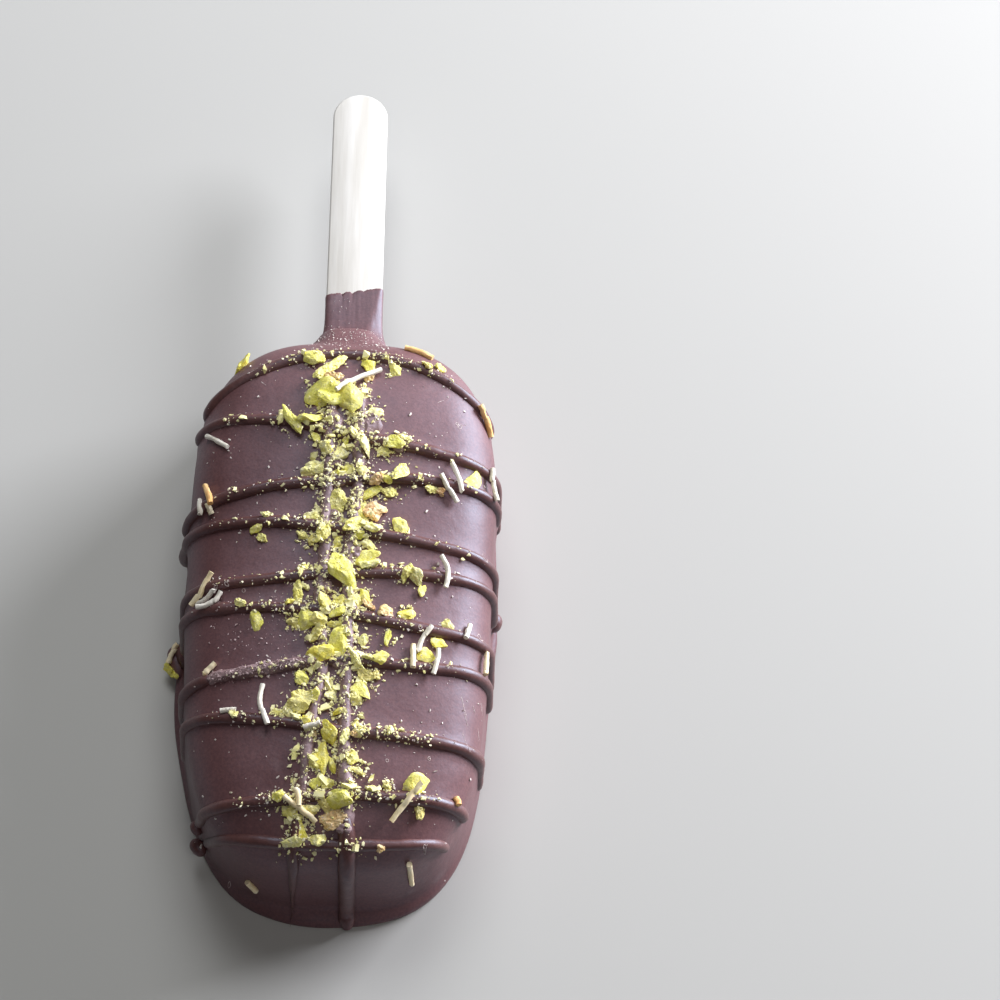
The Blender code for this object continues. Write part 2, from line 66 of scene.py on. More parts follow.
def new_object(name, data):
    """Make an object of this data and put it in the scene."""
    made = bpy.data.objects.new(name, data)
    bpy.context.scene.collection.objects.link(made)
    return made


# %% [markdown]
# ## The camera
# The photo was taken from above and a little below the bar's foot, with a long lens.
# The camera comes first, because each piece is judged through it. It is given as
# vectors, which are easier to trust than three turning angles.

# %% Set up the camera
EYE = Vector((0.0052905, -0.1758747, 0.4071998))
LOOK = Vector((0.04632099, 0.44479996, -0.89443131)).normalized()
RIGHT = Vector((0.99849398, 0.00573265, 0.05456105)).normalized()
FOCAL_LENGTH = 96.624

camera_data = bpy.data.cameras.new("camera")
camera_data.lens = FOCAL_LENGTH
camera_data.sensor_width = 36
camera = new_object("camera", camera_data)
turned = Matrix((RIGHT, RIGHT.cross(LOOK), -LOOK)).transposed().to_4x4()
camera.matrix_world = Matrix.Translation(EYE) @ turned
bpy.context.scene.camera = camera
print("camera", round(EYE.length / MM), "mm from the bar's back")

# %% [markdown]
# ## Helpers that every piece uses
# A bmesh is a mesh that is being worked on. A finished piece becomes an object with
# smooth shading and sharp edges only where faces meet at a strong angle. `spline_value`
# draws a smooth curve through a few measured values, so a poured line needs only seven
# numbers.

# %% Make the shared helpers
SHARP_ANGLE = math.radians(38)


def object_from(bm, name, sharp=SHARP_ANGLE, outward=True):
    """Turn a bmesh into a shaded object at the origin."""
    if outward:
        bmesh.ops.recalc_face_normals(bm, faces=bm.faces)
    mesh = bpy.data.meshes.new(name)
    bm.to_mesh(mesh)
    bm.free()
    mesh.shade_smooth()
    mesh.set_sharp_from_angle(angle=sharp)
    print(f"{name}: {len(mesh.polygons)} faces")
    return new_object(name, mesh)


def spline_value(values, stations, at):
    """A smooth curve through values at the given stations."""
    last = len(stations) - 2
    i = next((k for k in range(last + 1) if at <= stations[k + 1]), last)
    width = stations[i + 1] - stations[i]
    t = (at - stations[i]) / width
    before, after = max(i - 1, 0), min(i + 2, len(values) - 1)
    slope_in = (values[i + 1] - values[before]) / (stations[i + 1] - stations[before]) * width
    slope_out = (values[after] - values[i]) / (stations[after] - stations[i]) * width
    return (
        values[i] * (2 * t**3 - 3 * t**2 + 1)
        + values[i + 1] * (3 * t**2 - 2 * t**3)
        + slope_in * (t**3 - 2 * t**2 + t)
        + slope_out * (t**3 - t**2)
    )


def noise_at(*place):
    """Smooth noise from about -1 to 1."""
    return noise.noise(Vector(place))


def fade(edge_far, edge_near, value):
    """0 at the far edge, 1 at the near edge, smooth between them."""
    t = min(max((value - edge_far) / (edge_near - edge_far), 0), 1)
    return t * t * (3 - 2 * t)


# %% [markdown]
# ## The outline of the mould
# The bar was cast in a mould like a rounded box. Seen from above, its outline is a
# superellipse: an ellipse whose powers are above 2, so that it fills out its corners.
# It widens a little towards the stick. The same rule, drawn in by an inset, gives the
# outline at every depth. The rounding of the edge stops short: the face takes up its
# slope and goes on as a low dome, because wet chocolate leaves no flat top.

# %% Describe the mould
BAR_LENGTH = 0.0932
BAR_WIDTH = 0.0500
BAR_THICKNESS = 0.0263
WALL_TOP = 0.0157
EDGE_ROUNDING = 0.0088
ROUNDING_REACH = 0.0102
FACE_EDGE_SLOPE = 0.36
DRAFT = math.radians(3)
HEAD_WIDENING = 0.066
HEAD_LEAN = 0.012
SIDE_SQUARENESS = 3.13
HEAD_SQUARENESS = 3.6
FOOT_SQUARENESS = 4.09
FOOT_HEIGHT = 0.0019
FINE_TURNS = 2880


def shaped(x, y):
    """X once the bar is widened and leant towards its head."""
    return x * (1 + HEAD_WIDENING * 2 * y / BAR_LENGTH) + HEAD_LEAN * max(y, 0)


def end_squareness(y):
    return HEAD_SQUARENESS if y > 0 else FOOT_SQUARENESS


def outline_point(turn, inset):
    """One point of the outline seen from above, drawn in by inset."""
    across, along = math.cos(turn), math.sin(turn)
    half_width = max(BAR_WIDTH / 2 - inset, 0)
    half_length = BAR_LENGTH / 2 - inset
    x = math.copysign(abs(across) ** (2 / SIDE_SQUARENESS), across) * half_width
    y = math.copysign(abs(along) ** (2 / end_squareness(along)), along) * half_length
    return shaped(x, y), y


def even_turns(count):
    """Turns that set points evenly round the outline, the same on both sides."""
    fine = [2 * math.pi * k / FINE_TURNS for k in range(FINE_TURNS + 1)]
    edge = [outline_point(turn, 0) for turn in fine]
    lean_free = [Vector((x - HEAD_LEAN * max(y, 0), y)) for x, y in edge]
    reach = [0.0]
    for a, b in zip(lean_free, lean_free[1:]):
        reach.append(reach[-1] + (b - a).length)
    turns, k = [], 0
    for step in range(count):
        target = reach[-1] * step / count
        while reach[k + 1] < target:
            k += 1
        share = (target - reach[k]) / (reach[k + 1] - reach[k])
        turns.append(fine[k] + (fine[k + 1] - fine[k]) * share)
    return turns


# %% [markdown]
# ## The foot
# When the bar was set down to harden, its coat ran out into a thin foot: wide at the
# lower end, almost gone at the right and missing at the head. Its width is a list by
# bearing, read round the bar from the right-hand side, where the stick is at 90
# degrees. A foot of even width would be quicker, but its edge is in plain view.

# %% Describe the foot and the coat's section
FOOT_BEARINGS = (0, 20, 40, 140, 165, 185, 210, 230, 242, 256, 268, 281, 296, 310, 335, 360)
FOOT_SPREAD_MM = (1.0, 0.5, 0.0, 0.0, 0.5, 1.0, 1.9, 0.8, 0.4, 1.6, 2.6, 1.9, 0.7, 0.1, 0.2, 1.0)
FOOT_SECTION = (
    (0.90, 0.0), (1.0, 0.25), (1.03, 0.6), (1.0, 1.0), (0.88, 1.35),
    (0.66, 1.65), (0.40, 2.0), (0.18, 2.5), (0.05, 3.2),
)
OUTLINE_POINTS = 400
WALL_RINGS = 13
ROUNDING_RINGS = 20
FACE_RINGS = 26
BACK_EDGE = 0.0004


def foot_spread(turn):
    """How far the set foot stands out of the wall at this turn."""
    x, y = outline_point(turn, 0)
    bearing = math.degrees(math.atan2(y, x)) % 360
    return max(spline_value(FOOT_SPREAD_MM, FOOT_BEARINGS, bearing), 0) * MM


def coat_rings():
    """Inset, height and share of the foot, ring by ring from back to face."""
    lean = math.tan(DRAFT)
    rings = [(BACK_EDGE, 0.0, FOOT_SECTION[0][0])]
    for share, height in FOOT_SECTION[1:]:
        rings.append((lean * max(height * MM - FOOT_HEIGHT, 0), height * MM, share))
    start = FOOT_SECTION[-1][1] * MM
    for step in range(1, WALL_RINGS + 1):
        height = start + (WALL_TOP - start) * step / WALL_RINGS
        rings.append((lean * (height - FOOT_HEIGHT), height, 0.0))
    shoulder = rings[-1][0]
    full_turn = math.atan2(EDGE_ROUNDING, ROUNDING_REACH * FACE_EDGE_SLOPE)
    for step in range(1, ROUNDING_RINGS + 1):
        angle = full_turn * step / ROUNDING_RINGS
        inset = shoulder + ROUNDING_REACH * (1 - math.cos(angle))
        rings.append((inset, WALL_TOP + EDGE_ROUNDING * math.sin(angle), 0.0))
    inner, edge_height = rings[-1][:2]
    crown = BAR_THICKNESS - edge_height
    power = FACE_EDGE_SLOPE * (BAR_WIDTH / 2 - inner) / crown
    for step in range(1, FACE_RINGS + 1):
        share = step / FACE_RINGS
        inset = inner + (BAR_WIDTH / 2 - inner) * share
        rings.append((inset, BAR_THICKNESS - crown * (1 - share) ** power, 0.0))
    return rings


RINGS = coat_rings()
print(len(RINGS), "rings of", OUTLINE_POINTS, "points")

# %% [markdown]
# ## The coat, before anything is poured on it
# The coat is a stack of rings, bridged one to the next, from the flat back up over the
# rounded edge to a line along the middle of the face. A box with a subdivision surface
# would be quicker, but its corners would shrink, and the outline has to match the
# solid's. The last ring has no width, so its two sides are merged.

# %% Bridge the rings
WELD = 0.00001


def ring_through(bm, places):
    """A closed ring of edges through the places."""
    verts = [bm.verts.new(place) for place in places]
    return [bm.edges.new((a, b)) for a, b in zip(verts, verts[1:] + verts[:1])]


def bridge(bm, rings, *closed):
    """Bridge each ring to the next, and close some with a face."""
    for lower, upper in zip(rings, rings[1:]):
        bmesh.ops.bridge_loops(bm, edges=lower + upper)
    for ring in closed:
        bmesh.ops.edgeloop_fill(bm, edges=ring)


def bare_coat():
    bm = bmesh.new()
    turns = even_turns(OUTLINE_POINTS)
    spreads = [foot_spread(turn) for turn in turns]
    rings = []
    for inset, height, foot in RINGS:
        places = []
        for turn, spread in zip(turns, spreads):
            x, y = outline_point(turn, inset)
            out = Vector((x, y, 0)).normalized() * foot * spread
            places.append((x + out.x, y + out.y, height))
        rings.append(ring_through(bm, places))
    bridge(bm, rings, rings[0])
    bmesh.ops.remove_doubles(bm, verts=bm.verts, dist=WELD)
    bmesh.ops.recalc_face_normals(bm, faces=bm.faces)
    return bm


coat = bare_coat()
smooth_surface = BVHTree.FromBMesh(coat)
print("bare coat:", len(coat.faces), "faces")

# %% [markdown]
# ## Where the drizzle runs
# Ten thin lines were poured to and fro across the bar, and two along it. Each crossing
# line has a start and an end, as a share of the way from the left foot to the right
# foot, and the height up the bar at seven places between them. The numbers are close to
# the solid's own; two lines near the foot were moved to lie as in the photo. Another
# list says where the pour slowed and a line got thicker. Curves drawn by hand would do
# too, but a list is easier to correct.

# %% List the poured lines
DRIZZLE_STATIONS = (-1.0, -0.66, -0.3, 0.0, 0.3, 0.66, 1.0)
DRIZZLE_MM = (
    (-0.68, 0.72, (22.0, 31.5, 38.6, 40.4, 38.6, 31.5, 24.0)),
    (-0.70, 0.98, (22.0, 27.2, 27.2, 24.4, 22.6, 20.4, 17.6)),
    (-0.76, 0.80, (9.5, 12.0, 15.0, 16.2, 17.0, 16.2, 14.5)),
    (-0.92, 0.98, (10.0, 8.8, 8.9, 7.6, 6.1, 4.4, 2.0)),
    (-0.98, 0.88, (-5.0, -2.0, -1.2, -0.1, 0.4, 0.2, -1.5)),
    (-0.98, 0.94, (-5.5, -5.4, -5.9, -6.7, -8.6, -9.6, -12.0)),
    (-0.90, 0.86, (-19.5, -17.9, -16.3, -14.9, -15.2, -15.0, -17.0)),
    (-0.97, 0.90, (-24.0, -23.2, -24.4, -26.1, -26.8, -27.4, -29.0)),
    (-0.88, 0.72, (-34.6, -36.8, -37.1, -36.1, -36.1, -35.8, -35.0)),
    (-0.90, 0.72, (-37.2, -40.4, -42.6, -42.8, -42.6, -40.5, -38.0)),
)
DRIZZLE_RADIUS = 0.00098
DRIZZLE_LIFT = 0.00010
THICKER = (
    (3, -0.86, 0.75, 0.08), (2, -0.74, 0.35, 0.05), (0, 0.10, 0.12, 0.20), (8, 0.32, 0.25, 0.05),
    (1, 0.34, 0.15, 0.03), (4, 0.84, 0.25, 0.08), (7, 0.62, 0.20, 0.06), (5, -0.45, 0.25, 0.05),
)
WALL_THINNING = 0.25
UNEVENNESS = 0.13
UNEVEN_SCALE = 160
ROW_APART = 7.3
LINE_RUN = 0.105
DRIZZLE_STEP = 0.00055
RIBBON_HEAD = 0.034
RIBBON_FOOT = -0.0440
RIBBONS_MM = (
    (-2.2, -2.3, -2.4, -2.4, -3.0, -2.0, -3.4, -4.4, -5.6),
    (2.4, 2.5, 2.4, 1.6, 1.5, 1.6, 1.5, 2.0, 2.6),
)
RIBBON_THICKNESS = (
    (0.8, 1.05, 1.0, 0.95, 0.9, 0.9, 0.85, 0.8, 0.85),
    (0.8, 1.1, 1.0, 1.0, 1.0, 1.0, 1.05, 1.15, 1.40),
)
RIBBON_TAPER = (0.93, 0.05)
FOOT_RUN_STEPS = 40
FOOT_RUN_SPREAD = 0.06
ROUGH_DOWN_TO = -0.0405


def section_at(y):
    """The coat's outline across X at this Y, from left foot to right foot."""
    side = []
    for inset, height, foot in RINGS:
        if foot:
            continue
        reach = 1 - (abs(y) / (BAR_LENGTH / 2 - inset)) ** end_squareness(y)
        if reach <= 0:
            break
        side.append(((BAR_WIDTH / 2 - inset) * reach ** (1 / SIDE_SQUARENESS), height))
    across = [(-x, z) for x, z in side] + [(x, z) for x, z in reversed(side)]
    return [(shaped(x, y), z) for x, z in across]


def point_on_section(y, share):
    """The point at this share, -1 to 1, of the way across the section at Y."""
    points = [Vector((x, y, z)) for x, z in section_at(y)]
    lengths = [(b - a).length for a, b in zip(points, points[1:])]
    target = (share + 1) / 2 * sum(lengths)
    for start, end, length in zip(points, points[1:], lengths):
        if target <= length:
            return start.lerp(end, target / max(length, WELD))
        target -= length
    return points[-1]


def crossing_line(row):
    """Points down the middle of one crossing line, with its relative width."""
    start, end, crossings = DRIZZLE_MM[row]
    steps = round((end - start) / 2 * LINE_RUN / DRIZZLE_STEP)
    line = []
    for step in range(steps + 1):
        share = start + (end - start) * step / steps
        y = spline_value(crossings, DRIZZLE_STATIONS, share) * MM
        point = point_on_section(y, share)
        on_wall = max(abs(share) - DRIZZLE_STATIONS[-2], 0) / (1 - DRIZZLE_STATIONS[-2])
        uneven = 1 + UNEVENNESS * noise_at(point.x * UNEVEN_SCALE, row * ROW_APART, 0.0)
        for thick_row, middle, gain, reach in THICKER:
            if thick_row == row:
                uneven += gain * math.exp(-(((share - middle) / reach) ** 2))
        line.append((point, uneven * (1 - WALL_THINNING * on_wall)))
    return line


def place_on(surface, x, y):
    """The place and the normal of a surface straight below a point in plan."""
    return surface.ray_cast(Vector((x, y, 4 * BAR_THICKNESS)), DOWN)[:2]


def lengthwise_line(row):
    """Points down the middle of one line along the bar, and on down its foot."""
    crossings, widths = RIBBONS_MM[row], RIBBON_THICKNESS[row]
    stations = [k / (len(crossings) - 1) for k in range(len(crossings))]
    steps = round((RIBBON_HEAD - RIBBON_FOOT) / DRIZZLE_STEP)
    line = []
    for step in range(steps + 1):
        share = step / steps
        x = spline_value(crossings, stations, share) * MM
        y = RIBBON_HEAD + (RIBBON_FOOT - RIBBON_HEAD) * share
        line.append((place_on(smooth_surface, x, y)[0], spline_value(widths, stations, share)))
    top = line[-1][0]
    for step in range(1, FOOT_RUN_STEPS):
        x = top.x * (1 + FOOT_RUN_SPREAD * step / FOOT_RUN_STEPS)
        z = top.z * (1 - step / FOOT_RUN_STEPS)
        near = smooth_surface.find_nearest(Vector((x, -BAR_LENGTH / 2 - FOOT_HEIGHT, z)))[0]
        line.append((near, widths[-1] * (1 - RIBBON_TAPER[row] * step / FOOT_RUN_STEPS)))
    return line


SCUFFED_ROW = 6
SCUFFED_SHARES = (0.24, 0.47)
LINES = [crossing_line(row) for row in range(len(DRIZZLE_MM))]
RIBBONS = [lengthwise_line(row) for row in range(len(RIBBONS_MM))]
print("poured lines:", sum(len(line) for line in LINES + RIBBONS), "points")

# %% [markdown]
# ## The coat, swollen where the lines lie
# A poured line melts the coat under it a little and wets its sides, so it rises out of
# a soft swelling and not out of a hard corner. Every point of the coat is pushed out
# along its normal: near a line, by the slow waves of a hand-dipped coat, by a few beads
# where drizzle gathered and, at the head, by the neck that climbs on to the stick.

# %% Push the coat out
SWELL_HEIGHT = 0.00026
SWELL_REACH = 0.0014
WAVES = ((55, 0.00022), (150, 0.00006), (420, 0.000015))
NECK_X = 0.0001
NECK_Z = 0.0131
NECK_OUT = 0.0033
NECK_HALF = (0.0071, 0.0080)
NECK_SQUARENESS = 3
NECK_FROM = 0.6
NECK_FLAT = 0.55
BEADS_MM = (
    (-25.3, 9.6, 15.0, 2.6, 0.9),
    (-22.6, -36.2, 5.0, 2.4, 0.8),
    (25.6, 2.0, 4.2, 2.6, 1.3),
    (25.0, 17.0, 12.0, 2.6, 0.5),
)

line_tree = KDTree(sum(len(line) for line in LINES + RIBBONS))
for index, (point, _width) in enumerate(p for line in LINES + RIBBONS for p in line):
    line_tree.insert(point, index)
line_tree.balance()


def push_out(place):
    """How far the coat stands out at a place, in metres."""
    height = sum(tall * noise.noise(place * scale) for scale, tall in WAVES)
    distance = line_tree.find(place)[2]
    height += SWELL_HEIGHT * math.exp(-((distance / SWELL_REACH) ** 2))
    for x, y, z, reach, tall in BEADS_MM:
        away = (place - Vector((x, y, z)) * MM).length
        height += tall * MM * fade(reach * MM, 0, away)
    return height


def neck_push(place):
    """How far the neck draws the head's end wall out along the stick."""
    if place.y < NECK_FROM * BAR_LENGTH / 2:
        return 0.0
    across = (place.x - NECK_X) / NECK_HALF[0]
    up = (place.z - NECK_Z) / NECK_HALF[1]
    away = (abs(across) ** NECK_SQUARENESS + abs(up) ** NECK_SQUARENESS) ** (1 / NECK_SQUARENESS)
    return NECK_OUT * fade(1.0, NECK_FLAT, away)


for vert in coat.verts:
    if vert.co.z > FOOT_HEIGHT:
        place = vert.co.copy()
        vert.co += vert.normal * push_out(place) + Vector((0, neck_push(place), 0))
chocolate_coat = object_from(coat, "chocolate_coat")

# %% [markdown]
# ## Round cords of chocolate
# A poured line is a round cord. It is made as a curve with a round bevel: each point
# has its own radius, so one curve swells, thins and ends in a drop. The curve is then
# made a mesh, because a little noise roughens its skin.

# %% Make a cord along points


def cord_mesh(points, radii, resolution):
    """A closed round tube along points, as a bmesh."""
    curve = bpy.data.curves.new("cord", "CURVE")
    curve.dimensions = "3D"
    curve.bevel_depth = 1.0
    curve.bevel_resolution = resolution
    curve.use_fill_caps = True
    spline = curve.splines.new("POLY")
    spline.points.add(len(points) - 1)
    for knot, point, radius in zip(spline.points, points, radii):
        knot.co = (*point, 1)
        knot.radius = radius
    guide = new_object("cord", curve)
    bpy.context.view_layer.update()
    final = guide.evaluated_get(bpy.context.evaluated_depsgraph_get())
    mesh = bpy.data.meshes.new_from_object(final)
    bpy.data.objects.remove(guide, do_unlink=True)
    bm = bmesh.new()
    bm.from_mesh(mesh)
    bpy.data.meshes.remove(mesh)
    bmesh.ops.remove_doubles(bm, verts=bm.verts, dist=WELD / 10)
    bmesh.ops.recalc_face_normals(bm, faces=bm.faces)
    return bm


def roughen(bm, *layers):
    """Push every point out by layers of noise, each a scale and a height."""
    bm.normal_update()
    moves = []
    for vert in bm.verts:
        rise = sum(tall * noise.noise(vert.co * scale) for scale, tall in layers)
        moves.append(vert.normal * rise)
    for vert, move in zip(bm.verts, moves):
        vert.co += move


def keep_above_floor(bm):
    for vert in bm.verts:
        vert.co.z = max(vert.co.z, 0.0)


def add_to(whole, part):
    """Copy one bmesh into another."""
    mesh = bpy.data.meshes.new("part")
    part.to_mesh(mesh)
    part.free()
    whole.from_mesh(mesh)
    bpy.data.meshes.remove(mesh)


# %% [markdown]
# ## The drizzle
# The cord is laid a little above the coat, so a bit more than half of it shows, and
# both ends draw out to a drop. The crossing lines are one piece, because they were one
# pour. The lengthwise lines are rough on the face, where nuts fell into them, and run
# down the foot as two clean ridges. One crossing line was scuffed on a stretch, which
# goes to the rough piece.

# %% Pour the crossing lines
DROP_STEPS = 5
DROP_TIP = 0.3
FOOT_RIDGE_LIFT = 0.00060
SCUFFED_OVERLAP = 3
RIDGE_OVERLAP = (4, 2)
LINE_SKIN = ((260, 0.00010), (700, 0.00003))
FOOT_SKIN = ((260, 0.00008), (700, 0.00003))
RIBBON_SKIN = ((330, 0.00026), (900, 0.00018), (2400, 0.00009))
SCUFFED_SKIN = ((600, 0.00020), (1500, 0.00024), (3200, 0.00016))


def drop_ends(count, step):
    """Thins a cord to a rounded drop at both ends."""
    near = min(step, count - 1 - step)
    if near >= DROP_STEPS:
        return 1.0
    return math.sqrt(1 - (1 - (near + DROP_TIP) / (DROP_STEPS + DROP_TIP)) ** 2)


def pour(lines, resolution, skin, lift=DRIZZLE_LIFT):
    """One piece of chocolate cords laid on the coat."""
    whole = bmesh.new()
    for line in lines:
        points, radii = [], []
        for step, (point, width) in enumerate(line):
            place, normal, _index, _distance = smooth_surface.find_nearest(point)
            points.append(place + normal * lift)
            radii.append(DRIZZLE_RADIUS * width * drop_ends(len(line), step))
        part = cord_mesh(points, radii, resolution)
        roughen(part, *skin)
        keep_above_floor(part)
        add_to(whole, part)
    return whole


whole_line = LINES[SCUFFED_ROW]
first, last = [round(share * len(whole_line)) for share in SCUFFED_SHARES]
scuffed_line = whole_line[first - SCUFFED_OVERLAP : last + SCUFFED_OVERLAP]
clean_ends = [whole_line[:first], whole_line[last:]]
clean_lines = LINES[:SCUFFED_ROW] + clean_ends + LINES[SCUFFED_ROW + 1 :]
rough_parts, foot_parts = [], []
for line in RIBBONS:
    knots = [k for k, (point, _width) in enumerate(line) if point.y > ROUGH_DOWN_TO]
    rough_parts.append(line[: knots[-1] + RIDGE_OVERLAP[0]])
    foot_parts.append(line[knots[-1] - RIDGE_OVERLAP[1] :])
drizzle_mesh = pour(clean_lines, 5, LINE_SKIN)
add_to(drizzle_mesh, pour(foot_parts, 6, FOOT_SKIN, FOOT_RIDGE_LIFT))
ribbon_mesh = pour(rough_parts, 6, RIBBON_SKIN)
add_to(ribbon_mesh, pour([scuffed_line], 6, SCUFFED_SKIN))
print("clean cords:", len(clean_lines + foot_parts), "rough cords:", len(rough_parts) + 1)

# %% [markdown]
# ## Lumps where the chocolate gathered
# Where the lengthwise lines were scraped by the falling nuts, they broke into rough
# lumps. At the left foot a pool ran out from under a line, and at the right one fat
# bead hangs on the wall. Sculpting would be freer, but a stretched, turned and
# roughened ball is near enough at this size. Each row gives place, half lengths and a
# turn.

# %% Add the lumps
SCRAPED_MM = (
    (-2.0, 26.4, 26.4, 1.8, 2.5, 1.1, 8), (3.6, 26.0, 26.3, 2.2, 2.5, 1.0, -30),
    (-1.2, 18.8, 26.4, 1.2, 1.2, 0.9, 0), (-0.6, 15.9, 26.4, 1.3, 0.9, 0.9, 0),
    (2.0, 11.6, 26.4, 1.1, 1.7, 1.0, 10), (-2.0, -2.6, 26.4, 1.1, 1.2, 0.9, 0),
    (2.3, 3.4, 26.4, 1.4, 1.2, 0.9, 40), (2.2, -41.0, 24.2, 1.2, 1.3, 0.8, 0),
    (-1.0, 9.9, 26.4, 1.0, 1.5, 0.8, 0), (0.3, -15.4, 26.3, 2.1, 0.8, 0.9, 0),
    (9.0, 22.9, 25.9, 1.3, 1.3, 0.9, 20), (1.9, -34.2, 25.6, 1.1, 1.6, 0.7, 0),
    (2.0, -6.5, 26.4, 1.1, 1.6, 0.8, 0),
)
GATHERED_MM = (
    (-26.2, -5.6, 1.5, 1.5, 3.1, 1.4, 14), (-24.6, -4.6, 2.6, 1.8, 2.6, 1.9, 10),
    (25.2, 2.0, 4.4, 1.4, 1.6, 1.7, 0), (-21.0, -36.2, 8.4, 0.95, 1.2, 1.1, 30),
    (-20.8, -38.0, 4.4, 1.25, 1.5, 1.3, 40),
)
SCRAPED_SKIN = ((700, 0.00040), (1800, 0.00022), (4200, 0.00010))
GATHERED_SKIN = ((300, 0.00030), (800, 0.00008))


def add_lumps(whole, rows, skin):
    """Stretched and roughened balls, added to a piece of chocolate."""
    for x, y, z, across, along, up, turn in rows:
        lump = bmesh.new()
        bmesh.ops.create_icosphere(lump, subdivisions=4, radius=1.0)
        bmesh.ops.scale(lump, verts=lump.verts, vec=Vector((across, along, up)) * MM)
        spin = Matrix.Rotation(math.radians(turn), 4, "Z")
        place = Matrix.Translation(Vector((x, y, z)) * MM)
        bmesh.ops.transform(lump, matrix=place @ spin, verts=lump.verts)
        roughen(lump, *skin)
        keep_above_floor(lump)
        add_to(whole, lump)


add_lumps(ribbon_mesh, SCRAPED_MM, SCRAPED_SKIN)
add_lumps(drizzle_mesh, GATHERED_MM, GATHERED_SKIN)
drizzle = object_from(drizzle_mesh, "drizzle_lines", outward=False)
ribbons = object_from(ribbon_mesh, "lengthwise_ribbons", outward=False)

# %% [markdown]
# ## The sleeve of chocolate on the stick
# The dipped end of the stick keeps a thin flat coat, which ends in a slanted, slightly
# ragged line with three notches. Near the bar it rises to a ridge that wanders off to
# the right. It is a stack of flattened rings round the stick, bridged like the coat,
# because a cut-out box couldn't swell and thin like this. Its first ring is hidden in
# the neck.

# %% Wrap the sleeve round the stick
SLEEVE_COAT = (0.00012, 0.00030)
SLEEVE_SQUARENESS = 6
SLEEVE_POINTS = 280
SLEEVE_SLANT = 0.0008
SLEEVE_RINGS_MM = (
    (-3.0, 1.4, 2.4), (1.0, 0.8, 1.0), (2.4, 0.40, 0.40), (3.6, 0.16, 0.12), (5.0, 0.04, 0.0),
    (6.5, 0.0, 0.0), (8.0, 0.0, 0.0), (9.4, 0.0, 0.0), (10.6, 0.02, 0.0), (11.2, 0.03, 0.02),
    (11.5, 0.0, -0.02), (11.6, -0.10, -0.12), (11.62, -0.30, -0.30),
)
RIDGE_FROM = (2.4, 0.46, 1.1)
RIDGE_TO = (11.6, 0.93, 0.16)
RIDGE_END = 1.03
LEFT_FALL = 0.4
STREAK_HEIGHT = 0.00003
RAGGED_FROM, RAGGED_FULL = 8.0, 11.0
NICKS = ((0.00022, 3.5, 3.0, 4.0), (0.00016, 12.0, 9.0, 1.0))
NOTCHES = ((-0.42, 0.00065), (-0.06, 0.00050), (0.32, 0.00025))
NOTCH_WIDTH = 0.055
stick_middle = (stick_low + stick_high) / 2
stick_half = (stick_high - stick_low) / 2


def ridge_height(across, out):
    """The upper side rises to a slanted ridge, steep on its right, gentle on its left."""
    (out_a, across_a, tall_a), (out_b, across_b, tall_b) = RIDGE_FROM, RIDGE_TO
    share = min(max((out - out_a) / (out_b - out_a), 0), 1)
    crest = across_a + (across_b - across_a) * share
    tall = (tall_a + (tall_b - tall_a) * share) * MM
    if across > crest:
        return tall * max(1 - (across - crest) / (RIDGE_END - crest), 0)
    return tall * (1 - LEFT_FALL * (crest - across) / (1 + crest))


def sleeve_ring(out, wider, thicker):
    """A flattened ring round the stick; the last rings slant and are ragged."""
    half_width = stick_half.x + SLEEVE_COAT[0] + wider * MM
    half_height = stick_half.z + SLEEVE_COAT[1] + thicker * MM
    ragged = fade(RAGGED_FROM, RAGGED_FULL, out)
    places = []
    for k in range(SLEEVE_POINTS):
        turn = 2 * math.pi * k / SLEEVE_POINTS
        cos, sin = math.cos(turn), math.sin(turn)
        reach = abs(cos) ** SLEEVE_SQUARENESS + abs(sin) ** SLEEVE_SQUARENESS
        across = cos * reach ** (-1 / SLEEVE_SQUARENESS)
        up = sin * reach ** (-1 / SLEEVE_SQUARENESS)
        streak = STREAK_HEIGHT * noise_at(across * 9.0, out * 0.15, 7.0)
        nick = sum(d * noise_at(across * wide, up * high, seed) for d, wide, high, seed in NICKS)
        for middle, depth in NOTCHES:
            nick -= depth * math.exp(-(((across - middle) / NOTCH_WIDTH) ** 2)) * max(up, 0)
        y = BAR_LENGTH / 2 + out * MM + ragged * (SLEEVE_SLANT * across + nick)
        rise = half_height * up + (ridge_height(across, out) + streak) * max(up, 0)
        places.append((stick_middle.x + half_width * across, y, stick_middle.z + rise))
    return places


sleeve_mesh = bmesh.new()
sleeve_rings = [ring_through(sleeve_mesh, sleeve_ring(*row)) for row in SLEEVE_RINGS_MM]
bridge(sleeve_mesh, sleeve_rings, sleeve_rings[0], sleeve_rings[-1])
sleeve = object_from(sleeve_mesh, "stick_sleeve")

# %% [markdown]
# ## The wooden stick
# The stick is stamped from birch veneer: a flat strip with round ends and edges that
# tumbling has rubbed soft. A circle is cut in two and drawn apart to make the outline,
# which is extruded and bevelled. Two cylinders joined to a box would leave seams.

# %% Cut the stick
STICK_EDGE = 0.0003
STICK_ROUND_POINTS = 64


